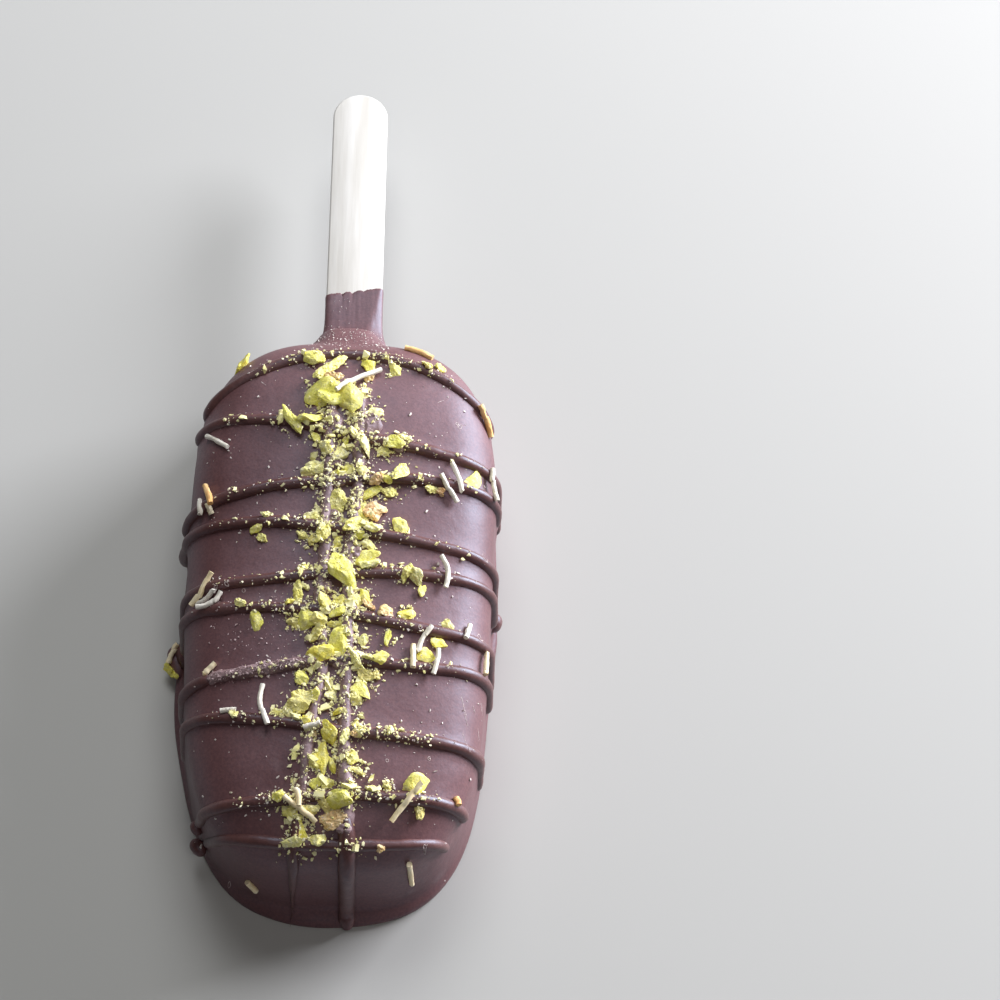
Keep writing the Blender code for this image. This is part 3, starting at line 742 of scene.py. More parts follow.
def make_stick():
    bm = bmesh.new()
    radius = stick_half.x
    bmesh.ops.create_circle(bm, cap_ends=True, segments=STICK_ROUND_POINTS, radius=radius)
    for vert in bm.verts:
        vert.co.y += math.copysign(stick_half.y - radius, vert.co.y + WELD / 100)
    risen = bmesh.ops.extrude_face_region(bm, geom=bm.faces[:])["geom"]
    top = [item for item in risen if isinstance(item, bmesh.types.BMVert)]
    bmesh.ops.translate(bm, verts=top, vec=(0, 0, 2 * stick_half.z))
    bmesh.ops.translate(bm, verts=bm.verts, vec=stick_middle - Vector((0, 0, stick_half.z)))
    edges = [e for e in bm.edges if abs(e.verts[0].co.z - e.verts[1].co.z) < WELD]
    bmesh.ops.bevel(
        bm, geom=edges, offset=STICK_EDGE, affect="EDGES", segments=3, profile=0.5, material=-1
    )
    return object_from(bm, "wooden_stick")


stick = make_stick()

# %% [markdown]
# ## Chopped pistachio
# A chopped nut is a small lump that a knife has cut several times. The same is done
# here: a knobbly ball is sliced by a few planes, the cuts are closed, and a little
# noise makes them mealy. Modelling each chip by hand would show no more at this size.
# Bright kernels are cut hard, olive ones are rougher. Each list gives place, length,
# width and turn, in millimetres and degrees, roughly from the head down; a sixth number
# lifts a chip that lies on others.

# %% List the nuts
BRIGHT_MM = (
    (-5.4, 39.3, 3.4, 2.2, -20), (0.5, 31.0, 5.4, 3.4, -48, 0.3), (-3.7, 32.0, 5.6, 3.7, 38),
    (-2.2, 30.6, 4.4, 2.2, -8), (3.6, 38.4, 3.5, 2.1, -55), (-17.1, 40.4, 4.0, 2.2, 45),
    (-8.4, 26.6, 5.3, 1.5, -60), (-5.7, 26.6, 4.2, 2.2, 5), (-4.4, 23.6, 1.9, 1.2, -50),
    (0.3, 23.3, 2.5, 0.9, 80), (8.1, 22.9, 2.6, 2.0, 20), (0.6, 18.3, 1.8, 1.1, 25),
    (-0.8, 17.2, 1.8, 0.9, -25), (4.4, 14.2, 3.6, 1.4, 35), (6.9, 16.3, 1.9, 1.1, -5),
    (1.9, 7.7, 3.9, 1.7, 40), (2.6, 6.5, 2.4, 1.2, 15), (-0.5, 5.0, 2.0, 1.1, 65),
    (9.3, 8.3, 3.1, 1.9, -70), (3.6, 2.7, 4.9, 1.9, 20), (0.4, -0.3, 5.9, 3.1, -65),
    (-5.5, 0.6, 1.2, 1.2, 0), (-7.5, -5.6, 1.4, 0.8, 20), (4.1, -3.9, 2.4, 1.4, -50),
    (10.6, -6.6, 2.6, 1.7, -10), (-5.0, -8.2, 3.2, 2.5, -60), (0.0, -7.1, 2.8, 1.2, 35),
    (0.6, -12.1, 5.0, 2.8, 85), (-2.4, -14.0, 4.3, 2.3, -10), (7.8, -10.7, 3.0, 0.9, 85),
    (6.8, -14.7, 2.5, 1.9, -35), (-5.1, -17.8, 2.0, 1.9, 0), (4.1, -19.7, 3.1, 1.9, -30),
    (-2.9, -21.0, 2.3, 1.2, 85), (0.6, -23.5, 1.8, 0.9, 20), (-4.2, -25.1, 1.2, 1.1, 0),
    (-0.7, -26.7, 3.6, 2.0, -65), (3.3, -25.4, 1.4, 1.2, 5), (-1.6, -30.8, 4.7, 1.6, 90),
    (-0.1, -31.8, 2.6, 0.9, -70), (-2.2, -34.6, 2.1, 1.4, 15), (-0.6, -34.7, 2.0, 1.2, 15),
    (1.4, -37.1, 3.6, 2.6, -10), (-8.0, -36.8, 1.8, 1.4, 10), (-4.5, -41.4, 3.9, 1.7, 90),
    (12.3, -34.3, 4.1, 2.8, 60), (15.7, -10.9, 2.5, 1.7, -25), (13.7, -13.4, 2.6, 2.0, -30),
    (12.8, -2.3, 2.2, 1.1, 65), (20.8, 18.2, 4.2, 2.0, 55), (-13.2, 7.7, 2.1, 1.2, 45),
    (-12.5, -8.2, 3.1, 1.6, -70), (-27.1, -6.9, 2.2, 1.5, -60), (-26.3, -7.9, 1.2, 0.9, 10),
)
OLIVE_MM = (
    (-2.7, 37.0, 7.4, 1.9, 57, 0.8), (7.7, 37.3, 2.4, 1.6, -30), (13.0, 38.6, 2.0, 1.4, -30),
    (9.4, 17.6, 6.3, 1.9, 70), (7.2, 14.5, 2.7, 1.6, -5), (-0.9, 11.7, 4.5, 2.3, 75),
    (-2.6, 6.3, 3.7, 1.9, 65), (-4.5, 5.5, 1.9, 0.9, 85), (-6.3, -3.5, 4.4, 1.2, -85),
    (-2.4, -4.9, 3.4, 2.3, 85), (0.4, -5.3, 2.3, 2.0, 0), (2.6, -5.1, 3.1, 1.9, 10),
    (-6.9, -8.8, 1.7, 1.4, 0), (-2.7, -8.6, 2.8, 1.9, -50), (-3.1, -10.6, 2.5, 1.7, 25),
    (0.1, -9.0, 3.1, 1.2, -10), (4.5, -17.2, 2.6, 1.6, -35), (6.2, -17.1, 1.5, 1.2, 65),
    (-5.0, -21.9, 3.9, 3.1, 10), (-3.0, -31.1, 2.3, 1.9, 75), (2.6, -30.7, 2.0, 1.6, -70),
    (-1.1, -37.6, 3.4, 1.4, -70), (-5.8, -38.9, 3.3, 1.6, -35), (-3.2, -38.3, 2.4, 2.0, -45),
    (8.2, -34.8, 1.2, 1.1, 5), (10.4, 0.1, 3.1, 1.2, 70), (-12.3, 6.1, 1.7, 1.2, -35),
    (15.2, 39.2, 2.0, 1.4, -25), (3.4, 11.1, 3.2, 1.7, 85), (13.2, -37.6, 2.3, 1.4, 75),
    (14.1, 15.5, 1.9, 1.1, 5),
)
PALE_MM = (
    (-2.8, 21.3, 2.1, 1.9, 0), (-0.4, 21.0, 3.0, 2.0, 65), (3.4, 21.7, 3.9, 1.7, -35),
    (6.3, 21.7, 1.9, 1.6, 5), (9.7, 23.8, 2.1, 0.9, 5), (4.9, 28.6, 2.2, 1.7, -40),
    (1.3, 28.0, 1.8, 0.9, -10), (1.4, 24.3, 1.8, 0.9, -60), (-4.3, 18.2, 5.0, 2.2, 25),
    (2.9, 17.5, 1.6, 1.2, 25), (-4.4, 9.3, 2.2, 1.6, 15), (5.0, 7.5, 2.9, 1.9, -45),
    (-6.0, 6.3, 1.9, 1.2, -20), (4.5, 4.9, 2.2, 1.4, 5), (4.7, 1.0, 2.9, 2.3, 25),
    (2.9, -14.9, 3.8, 1.2, -50), (4.0, -11.4, 2.0, 1.4, 80), (4.6, -14.6, 1.5, 0.8, 5),
    (3.1, -21.2, 2.2, 1.4, -30), (-0.5, -20.5, 2.2, 1.4, 30), (-6.6, -23.2, 2.7, 1.9, 85),
    (-8.3, -23.5, 1.9, 1.4, -20), (1.7, -27.5, 2.5, 1.2, 75), (4.0, -26.9, 1.6, 0.9, 65),
    (8.5, -26.4, 1.6, 0.8, 70), (3.6, -32.4, 2.9, 0.8, -20), (-5.5, -43.1, 3.6, 1.4, 10),
    (-1.8, -42.6, 2.6, 2.3, -35), (5.9, -35.4, 1.7, 0.9, 25), (17.0, -7.6, 1.8, 1.6, 10),
    (12.0, -0.2, 3.0, 1.7, -65), (-11.9, 9.6, 1.4, 0.9, 20), (-15.2, -5.4, 2.3, 1.1, -35),
)
TOASTED_MM = (
    (3.8, 35.5, 2.1, 1.1, 45), (5.4, 16.2, 2.4, 1.4, 40), (5.1, 10.9, 3.2, 2.6, -20),
    (4.8, -5.5, 2.2, 0.9, -30), (7.4, -6.8, 2.6, 2.2, 35), (0.8, -39.7, 4.3, 2.3, 15),
    (15.5, 15.3, 1.3, 1.1, 5), (-2.0, 34.2, 3.0, 1.6, -25, 1.2), (-3.0, -27.0, 1.4, 1.1, 65),
    (3.1, -27.0, 1.3, 0.9, -60), (7.5, -43.5, 1.3, 0.9, 45),
)

# %% Chop the nuts
random.seed(11)
NUT_HEIGHT = (0.52, 0.0010)
NUT_LIFT = 0.24
NUT_TOP = 0.0293
NUT_TILT = math.radians(16)
NUT_GROWTH = (1.14, 1.26)
FINE_FROM = 0.0040
LONGEST_EDGE = 0.13
CUT_DEPTHS = (0.22, 0.40)
KNOBS = (2.3, 0.5)
CUT_SOFTNESS = 0.35
MEAL = ((1100, 0.00015), (2600, 0.00014), (5200, 0.00009))
CHIP_SHARP = math.radians(40)


def random_vector(low, high):
    return Vector([random.uniform(low, high) for _axis in range(3)])


def seat(bm, place, normal, rise, *turns):
    """Turn a small lump and stand it on a surface."""
    stand = UP.rotation_difference(normal).to_matrix().to_4x4()
    matrix = Matrix.Translation(place + normal * rise) @ stand
    for turn in turns:
        matrix = matrix @ turn
    bmesh.ops.transform(bm, matrix=matrix, verts=bm.verts)


def cut_lump(cuts, fineness):
    """A knobbly ball, sliced flat a few times, with the cuts closed and softened."""
    bm = bmesh.new()
    bmesh.ops.create_icosphere(bm, subdivisions=fineness, radius=0.5)
    seed = random_vector(0, 90)
    for vert in bm.verts:
        vert.co *= 1 + KNOBS[1] * noise.noise(vert.co * KNOBS[0] + seed)
    for _cut in range(cuts):
        way = random_vector(-1, 1).normalized()
        at = way * random.uniform(*CUT_DEPTHS)
        geom = bm.verts[:] + bm.edges[:] + bm.faces[:]
        sliced = bmesh.ops.bisect_plane(bm, geom=geom, plane_co=at, plane_no=way, clear_outer=True)
        rim = [item for item in sliced["geom_cut"] if isinstance(item, bmesh.types.BMEdge)]
        bmesh.ops.edgeloop_fill(bm, edges=rim)
    bmesh.ops.poke(bm, faces=[face for face in bm.faces if len(face.verts) > 4])
    for _pass in range(2):
        long = [edge for edge in bm.edges if edge.calc_length() > LONGEST_EDGE]
        bmesh.ops.subdivide_edges(bm, edges=long, cuts=1)
        bmesh.ops.triangulate(bm, faces=bm.faces)
    axes = {"use_axis_x": True, "use_axis_y": True, "use_axis_z": True}
    bmesh.ops.smooth_vert(bm, verts=bm.verts, factor=CUT_SOFTNESS, **axes)
    return bm


def chopped_chip(length, width, cuts, mealy):
    """One chip on its side, drawn to its length, width and height and made mealy."""
    bm = cut_lump(cuts, 5 if length > FINE_FROM else 4)
    share, least = NUT_HEIGHT
    height = max(width * share, least)
    bounds = [(min(v.co[a] for v in bm.verts), max(v.co[a] for v in bm.verts)) for a in range(3)]
    for vert in bm.verts:
        for axis, size in enumerate((length, width, height)):
            low, high = bounds[axis]
            vert.co[axis] = ((vert.co[axis] - low) / (high - low) - 0.5) * size
    roughen(bm, *[(scale, tall * mealy) for scale, tall in MEAL])
    return bm, height


def scatter_chips(name, rows, cuts, mealy):
    """Lay the listed chips on the chocolate, each with a tint of its own."""
    whole = bmesh.new()
    tint = whole.verts.layers.float.new("tint")
    for x, y, length, width, turn, *raised in rows:
        size = length * MM * NUT_GROWTH[0], width * MM * NUT_GROWTH[1]
        chip, height = chopped_chip(*size, cuts, mealy)
        place, normal = place_on(chocolate_surface, x * MM, y * MM)
        lean = Matrix.Rotation(random.uniform(-1, 1) * NUT_TILT, 4, "X")
        lean @= Matrix.Rotation(random.uniform(-1, 1) * NUT_TILT, 4, "Y")
        spin = Matrix.Rotation(math.radians(turn), 4, "Z")
        seat(chip, place, normal, height * NUT_LIFT + sum(raised) * MM, spin, lean)
        over = max(vert.co.z for vert in chip.verts) - NUT_TOP
        bmesh.ops.translate(chip, verts=chip.verts, vec=DOWN * max(over, 0))
        before = len(whole.verts)
        add_to(whole, chip)
        whole.verts.ensure_lookup_table()
        shade = random.random()
        for vert in whole.verts[before:]:
            vert[tint] = shade
    return object_from(whole, name, sharp=CHIP_SHARP)


def surface_of(*pieces):
    """One searchable surface made of several pieces."""
    joined = bmesh.new()
    for piece in pieces:
        joined.from_mesh(piece.data)
    tree = BVHTree.FromBMesh(joined)
    joined.free()
    return tree


chocolate_surface = surface_of(chocolate_coat, drizzle, ribbons, sleeve)
bright_nuts = scatter_chips("pistachio_bright", BRIGHT_MM, 5, 0.55)
olive_nuts = scatter_chips("pistachio_olive", OLIVE_MM, 4, 1.2)
pale_nuts = scatter_chips("pistachio_pale", PALE_MM, 5, 1.0)
toasted_nuts = scatter_chips("toasted_crumbs", TOASTED_MM, 3, 1.5)

# %% [markdown]
# ## Strands of toasted pastry
# The strands are short, dry, slightly bent lengths of shredded pastry, nearly a
# millimetre thick. Most stayed white, a few are browned. Each is a thin cord like the
# drizzle, with a bow. A cord that follows every bump under it looks like a wet noodle,
# so each is stiffened towards the straight line between its ends.

# %% Lay the strands
WHITE_MM = (
    (-1.6, 31.9, 5.6, 37.0, 0.2), (-22.0, 26.0, -18.5, 22.7, 0.1), (-22.5, 13.9, -22.3, 11.5, 0.0),
    (-22.0, -3.9, -19.4, -2.2, -0.5), (-21.9, -5.3, -18.2, -2.9, -0.9),
    (15.6, 17.7, 18.2, 13.7, 0.0), (17.3, 20.4, 19.0, 15.6, 0.1), (23.8, 21.4, 24.6, 16.2, -0.2),
    (15.8, 3.8, 16.5, -1.5, 0.7), (20.4, -6.8, 19.8, -9.5, 0.1), (14.5, -8.6, 12.5, -12.7, -0.4),
    (15.6, -12.1, 14.9, -16.1, 0.2), (-11.0, -19.0, -10.0, -25.4, -0.8),
    (-17.3, -23.2, -15.0, -23.2, 0.1), (-4.5, -26.1, -2.1, -25.7, 0.0),
)
CREAM_MM = (
    (11.7, -11.7, 11.7, -15.6, 0.0), (23.1, -10.2, 23.0, -14.4, 0.0),
    (-7.1, -36.9, -2.2, -40.2, 0.1), (-5.2, -35.7, -4.8, -38.2, 0.1),
    (13.4, -34.1, 9.0, -39.8, 0.0), (-19.8, 0.5, -22.8, -4.1, 0.1),
    (-20.3, -16.5, -18.5, -14.6, 0.0), (-21.2, 12.8, -20.4, 11.3, 0.0),
    (-12.6, -44.5, -11.3, -45.2, 0.0), (11.9, -44.2, 12.5, -44.5, 0.0),
    (-25.9, -3.3, -27.3, -5.9, -0.3),
)
BROWNED_MM = (
    (9.4, 43.5, 13.9, 41.6, 0.2), (21.8, 33.3, 23.6, 28.8, 0.2), (-21.7, 16.5, -20.7, 12.6, 0.1),
    (18.7, -34.5, 19.1, -35.9, 0.0),
)
STRAND_RADIUS = 0.00040
STRAND_LIFT = 0.00032
STRAND_STEPS = 14
STRAND_STIFF = 0.88
STRAND_WOBBLE = 0.05
STRAND_UNEVEN = 0.16
MOST_BRIDGED = 0.0011


def lay_strands(name, rows, radius):
    """Lay the listed strands over the bar and its nuts."""
    whole = bmesh.new()
    for number, (x1, y1, x2, y2, bow) in enumerate(rows):
        start, end = Vector((x1, y1)), Vector((x2, y2))
        sideways = Vector((start.y - end.y, end.x - start.x)).normalized()
        points, radii = [], []
        for step in range(STRAND_STEPS + 1):
            share = step / STRAND_STEPS
            wobble = STRAND_WOBBLE * noise_at(number * 5.1, share * 2.5, 0.0)
            flat = start.lerp(end, share) + sideways * (bow * math.sin(math.pi * share) + wobble)
            place, normal = place_on(topped_surface, *(flat * MM))
            points.append(place + normal * STRAND_LIFT)
            uneven = STRAND_UNEVEN * noise_at(number * 3.7, share * 5.0, 2.0)
            radii.append(radius * (1 + uneven))
        low, high = points[0].z, points[-1].z
        chord = [low + (high - low) * k / STRAND_STEPS for k in range(STRAND_STEPS + 1)]
        rise = min(max(max(point.z - z for point, z in zip(points, chord)), 0), MOST_BRIDGED)
        for point, z in zip(points, chord):
            point.z += (z + rise - point.z) * STRAND_STIFF
        strand = cord_mesh(points, radii, 3)
        roughen(strand, (1500, 0.00005), (4000, 0.00003))
        add_to(whole, strand)
    return object_from(whole, name, outward=False)


nuts = (bright_nuts, olive_nuts, pale_nuts)
topped_surface = surface_of(chocolate_coat, drizzle, ribbons, *nuts)
white_strands = lay_strands("strands_white", WHITE_MM, STRAND_RADIUS)
cream_strands = lay_strands("strands_cream", CREAM_MM, STRAND_RADIUS * 1.1)
browned_strands = lay_strands("strands_browned", BROWNED_MM, STRAND_RADIUS * 1.25)

# %% [markdown]
# ## Crumbs and dust
# Chopping leaves crumbs, and they caught in the wet lines: thick down the middle,
# thinner along the crossing lines, and a few specks elsewhere. They are scattered in
# clumps with a fixed seed, as coarse, green and cream crumbs, dust on the face and the
# neck, and a reddish grit by the scuffed line. Each is a small shard, a jittered cube
# or ball, dropped straight down on what lies below. Physics could drop them too, but a
# straight drop lands them in the same place every time.

# %% Helpers for the crumbs
random.seed(23)
CRUMB_STRIP = (35.0, -44.5)
NUT_RISE = 0.0004
CRUMBS_KEPT_ON_NUTS = 0.12
LINE_CLUMPS = (260, 0.5, 1.6)
LINE_ENDS_KEEP = 0.10
FACE_DEPTH = 4 * MM
STRIP_CLUMPS = (0.42, 0.45, 1.7)
MIDDLE_MM = 11
CUBE_SHARE = 0.3
SHARD_JITTER = 0.26
SHARD_STRETCH = ((0.8, 1.7), (0.6, 1.1), (0.5, 0.9))
SMALL_SIZES_FAVOURED = 2.4
CRUMB_LIFT = 0.2
STEEPEST = 0.3
crumb_surface = surface_of(chocolate_coat, drizzle, ribbons, sleeve, *nuts, toasted_nuts)


def spot_near(point, across, along):
    """A spot thrown about a point, as X and Y in millimetres."""
    return point.x / MM + random.gauss(0, across), point.y / MM + random.gauss(0, along)


def line_spots(count, spread, reach=13):
    """Spots near the poured lines, fewer towards the ends."""
    scale, least, gain = LINE_CLUMPS
    spots = []
    while len(spots) < count:
        point, _width = random.choice(random.choice(LINES))
        keep = math.exp(-((point.x / MM / reach) ** 2)) + LINE_ENDS_KEEP
        clump = least + noise.noise(point * scale)
        if point.z > BAR_THICKNESS - FACE_DEPTH and random.random() < keep * clump * gain:
            spots.append(spot_near(point, 0.4, spread))
    return spots


def strip_spots(count, spread):
    """Spots down the middle of the bar, in clumps about the two lengthwise lines."""
    scale, least, gain = STRIP_CLUMPS
    spots = []
    while len(spots) < count:
        point, _width = random.choice(random.choice(RIBBONS))
        x, y = spot_near(point, spread, 0.6)
        clump = least + gain * noise.noise(Vector((x, y, 0.0)) * scale)
        if CRUMB_STRIP[1] < y < CRUMB_STRIP[0] and random.random() < clump:
            spots.append((x, y))
    return spots


def spots_round_nuts(count, spread):
    """Spots round the edges of the nuts, where the knife left its crumbs."""
    middle = [row for row in BRIGHT_MM + OLIVE_MM + PALE_MM if abs(row[0]) < MIDDLE_MM]
    spots = []
    for _spot in range(count):
        x, y, length, width, *_rest = random.choice(middle)
        turn = random.uniform(0, math.tau)
        away = (length + width) * 0.25 + abs(random.gauss(0, spread))
        spots.append((x + away * math.cos(turn), y + away * math.sin(turn)))
    return spots


def spots_in(count, left, right, low, high):
    """Spots anywhere in a patch of the plan, in millimetres."""
    return [(random.uniform(left, right), random.uniform(low, high)) for _spot in range(count)]


def shard(size):
    """One crumb: a cube or a ball with its corners thrown about."""
    bm = bmesh.new()
    if random.random() < CUBE_SHARE:
        bmesh.ops.create_cube(bm, size=0.85)
        bmesh.ops.triangulate(bm, faces=bm.faces)
    else:
        bmesh.ops.create_icosphere(bm, subdivisions=1, radius=0.5)
    for vert in bm.verts:
        vert.co += random_vector(-SHARD_JITTER, SHARD_JITTER)
    stretch = Vector([random.uniform(*ends) for ends in SHARD_STRETCH])
    bmesh.ops.scale(bm, verts=bm.verts, vec=stretch * size)
    return bm


def scatter_crumbs(name, spots, smallest, largest, pile=0.0):
    """Drop a shard on each spot; pile lifts some, so that they heap up."""
    whole = bmesh.new()
    for x, y in spots:
        place, normal = place_on(crumb_surface, x * MM, y * MM)
        if place is None or normal.z < STEEPEST:
            continue
        under = place_on(chocolate_surface, x * MM, y * MM)[0]
        if place.z - under.z > NUT_RISE and random.random() > CRUMBS_KEPT_ON_NUTS:
            continue
        share = random.random() ** SMALL_SIZES_FAVOURED
        size = (smallest + (largest - smallest) * share) * MM
        lump = shard(size)
        spin = Matrix.Rotation(random.uniform(0, math.tau), 4, "Z")
        spin @= Matrix.Rotation(random.uniform(-0.5, 0.5), 4, "X")
        rise = size * CRUMB_LIFT + pile * MM * random.random() ** 2
        seat(lump, place, normal, rise, spin)
        add_to(whole, lump)
    return object_from(whole, name)


# %% Scatter the crumbs
coarse_spots = strip_spots(150, 1.3) + line_spots(50, 0.6, 10) + spots_round_nuts(190, 0.5)
green_spots = strip_spots(950, 1.3) + line_spots(500, 0.6) + spots_round_nuts(900, 0.6)
cream_spots = strip_spots(1150, 1.5) + line_spots(650, 0.7) + spots_round_nuts(950, 0.8)
dust_spots = strip_spots(200, 2.2) + line_spots(420, 1.4, 20) + spots_in(330, -23, 23, -43, 44)
neck_spots = spots_in(300, -6.5, 7, 43, 50) + spots_in(16, -4, 0, 50, 57)
grit_spots = [spot_near(point, 0.3, 0.55) for point, _width in scuffed_line for _grain in range(9)]
grit_spots += spots_in(110, -20, -7, -13, -4)
coarse_crumbs = scatter_crumbs("crumbs_coarse", coarse_spots, 0.45, 1.25, 0.2)
green_crumbs = scatter_crumbs("crumbs_green", green_spots, 0.16, 0.66, 0.25)
cream_crumbs = scatter_crumbs("crumbs_cream", cream_spots, 0.11, 0.42, 0.3)
dust = scatter_crumbs("crumbs_dust", dust_spots, 0.11, 0.40)
neck_dust = scatter_crumbs("crumbs_neck", neck_spots, 0.07, 0.24)
grit = scatter_crumbs("crumbs_grit", grit_spots, 0.10, 0.34)

# %% [markdown]
# ## Scuffs
# A few pale rings and scratches are left where a crumb or a bubble sat in the coat, or
# where it was brushed while it was soft. They could be painted into the coat's colour,
# but a hair-thin cord pressed into the surface follows it and catches the light. Rings
# are given by centre, half lengths and turn, scratches by their two ends.

# %% Draw the scuffs
RINGS_MM = (
    (12.8, -8.8, 0.25, 0.35, 0), (-19.2, -2.0, 0.25, 0.45, 0), (-17.5, -1.8, 0.22, 0.4, 40),
    (-14.8, -2.8, 0.25, 0.3, 0), (18.6, 28.0, 0.28, 0.42, -30), (18.1, 28.4, 0.2, 0.24, -30),
    (8.2, -30.6, 0.22, 0.22, 0), (14.6, -29.6, 0.2, 0.26, 0), (-15.8, -43.2, 0.2, 0.3, 0),
    (14.3, -42.4, 0.22, 0.25, 0), (22.9, 5.6, 0.3, 0.9, 25), (22.3, -8.2, 0.3, 0.8, 22),
)
SCRATCHES_MM = (
    (19.4, -18.8, 20.2, -21.6), (19.9, -21.2, 20.5, -23.2), (19.7, -24.6, 20.9, -27.6),
    (22.6, -18.4, 22.9, -20.0), (22.2, -22.6, 22.4, -24.4), (21.3, -19.6, 21.6, -20.6),
    (14.9, 31.9, 15.9, 32.6), (-16.0, 36.6, -14.4, 37.4), (-13.8, 35.0, -13.0, 34.2),
)
SCUFF_RADIUS = 0.00005
RING_STEPS = 26
SCRATCH_STEPS = 12
RING_RAGGED = 0.25
SCRATCH_WANDER_MM = 0.12
SCUFF_UNEVEN = 0.9


def ring_path(x, y, across, along, turn):
    """A ragged ellipse in plan."""
    spin = Matrix.Rotation(math.radians(turn), 2)
    path = []
    for step in range(RING_STEPS + 1):
        angle = math.tau * step / RING_STEPS
        cos, sin = math.cos(angle), math.sin(angle)
        ragged = 1 + RING_RAGGED * noise_at(cos * 2, sin * 2, x)
        path.append(Vector((x, y)) + spin @ Vector((across * cos, along * sin)) * ragged)
    return path


def scratch_path(x1, y1, x2, y2):
    """A nearly straight line in plan."""
    path = []
    for step in range(SCRATCH_STEPS + 1):
        share = step / SCRATCH_STEPS
        wander = SCRATCH_WANDER_MM * noise_at(x1, share * 9, 0)
        path.append(Vector((x1, y1)).lerp(Vector((x2, y2)), share) + Vector((wander, 0)))
    return path


scuff_mesh = bmesh.new()
for path in [ring_path(*row) for row in RINGS_MM] + [scratch_path(*row) for row in SCRATCHES_MM]:
    points = [place_on(chocolate_surface, *(spot * MM))[0] for spot in path]
    radii = [SCUFF_RADIUS * (1 + SCUFF_UNEVEN * noise.noise(point * 3000)) for point in points]
    add_to(scuff_mesh, cord_mesh(points, radii, 1))
scuffs = object_from(scuff_mesh, "pale_scuffs", outward=False)

# %% [markdown]
# ## Materials
# Every finish is built from noise that reads the object's own coordinates, so it stays
# on the piece from every side. The chocolate is a satin brown: its colour drifts
# slowly, a grey-violet bloom lies on it in patches, and its roughness drifts too, which
# makes a wide soft highlight look like a dipped coat. Its gloss is tinted cold, because
# a clear one turns the brown orange.

# %% Helpers for the finishes
BLACK, WHITE = (0, 0, 0), (1, 1, 1)


def new_finish(name):
    material = bpy.data.materials.new(name)
    material.use_nodes = True
    return material.node_tree, material.node_tree.nodes["Principled BSDF"]


def feed(tree, node, inputs):
    """Set each input of a node to a value, or link it to what feeds it."""
    for socket, value in inputs.items():
        if isinstance(value, bpy.types.NodeSocket):
            tree.links.new(value, node.inputs[socket])
        else:
            node.inputs[socket].default_value = value


def linked(tree, kind, inputs, **settings):
    """Add a node, choose its settings and feed it."""
    node = tree.nodes.new(kind)
    for name, value in settings.items():
        setattr(node, name, value)
    feed(tree, node, inputs)
    return node


def speckle(tree, scale, detail=3.0, roughness=0.5, stretch=(1, 1, 1)):
    """Noise on the object's own coordinates, stretched if asked."""
    place = linked(tree, "ShaderNodeTexCoord", {}).outputs["Object"]
    mapping = linked(tree, "ShaderNodeMapping", {"Vector": place, "Scale": stretch}).outputs[0]
    inputs = {"Vector": mapping, "Scale": scale, "Detail": detail, "Roughness": roughness}
    return linked(tree, "ShaderNodeTexNoise", inputs).outputs["Fac"]


def ramp(tree, factor, *stops):
    """A colour ramp; each stop is a place from 0 to 1 and a colour."""
    node = linked(tree, "ShaderNodeValToRGB", {"Fac": factor})
    elements = node.color_ramp.elements
    while len(elements) < len(stops):
        elements.new(0.5)
    for element, (at, colour) in zip(elements, stops):
        element.position = at
        element.color = (*colour, 1)
    return node.outputs["Color"]


def blend(tree, factor, first, second, mode="MIX"):
    inputs = {0: factor, 6: first, 7: second}
    return linked(tree, "ShaderNodeMix", inputs, data_type="RGBA", blend_type=mode).outputs[2]


def bump(tree, shader, height, strength, distance, under=None):
    """Bump the shader's normal, on top of another bump if one is given."""
    inputs = {"Height": height, "Strength": strength, "Distance": distance}
    if under:
        inputs["Normal"] = under
    node = linked(tree, "ShaderNodeBump", inputs)
    tree.links.new(node.outputs["Normal"], shader.inputs["Normal"])
    return node.outputs["Normal"]


# %% Chocolate
GLOSS_TINT = (0.50, 0.74, 1.0, 1)
GLOSS_LEVEL = 0.78
CHOCOLATE_IOR = 1.47
GRAIN_DARK, GRAIN_LIGHT = (0.86, 0.86, 0.88), (1.12, 1.12, 1.1)


def chocolate(name, deep, light, bloom, bloom_from, roughness, grain):
    """Satin chocolate; grain sets how rough its skin is."""
    tree, shader = new_finish(name)
    drift = ramp(tree, speckle(tree, 45, 4.0), (0.32, deep), (0.68, light))
    patches = ramp(tree, speckle(tree, 130, 5.0, 0.62), (bloom_from, BLACK), (0.86, WHITE))
    colour = blend(tree, patches, drift, (*bloom, 1))
    grains = ramp(tree, speckle(tree, 2300, 2.0, 0.6), (0.35, GRAIN_DARK), (0.65, GRAIN_LIGHT))
    smoother, rougher = (roughness - 0.05,) * 3, (roughness + 0.06,) * 3
    feed(tree, shader, {
        "Base Color": blend(tree, 1.0, colour, grains, "MULTIPLY"),
        "Roughness": ramp(tree, speckle(tree, 90, 5.0, 0.6), (0.3, smoother), (0.7, rougher)),
        "Specular IOR Level": GLOSS_LEVEL,
        "Specular Tint": GLOSS_TINT,
        "IOR": CHOCOLATE_IOR,
    })
    first = bump(tree, shader, speckle(tree, 380, 4.0), 0.18 * grain, 0.0006)
    bump(tree, shader, speckle(tree, 2600, 3.0, 0.6), 0.22 * grain, 0.00012, first)


CHOCOLATES = (
    ("satin_chocolate", (0.146, 0.064, 0.066), (0.182, 0.084, 0.088), (0.225, 0.145, 0.155),
     0.62, 0.52, 1.0),
    ("poured_chocolate", (0.118, 0.048, 0.043), (0.150, 0.065, 0.059), (0.22, 0.140, 0.145),
     0.66, 0.44, 1.2),
    ("scuffed_chocolate", (0.145, 0.072, 0.068), (0.260, 0.165, 0.165), (0.54, 0.39, 0.42),
     0.42, 0.54, 2.8),
)
for row in CHOCOLATES:
    chocolate(*row)

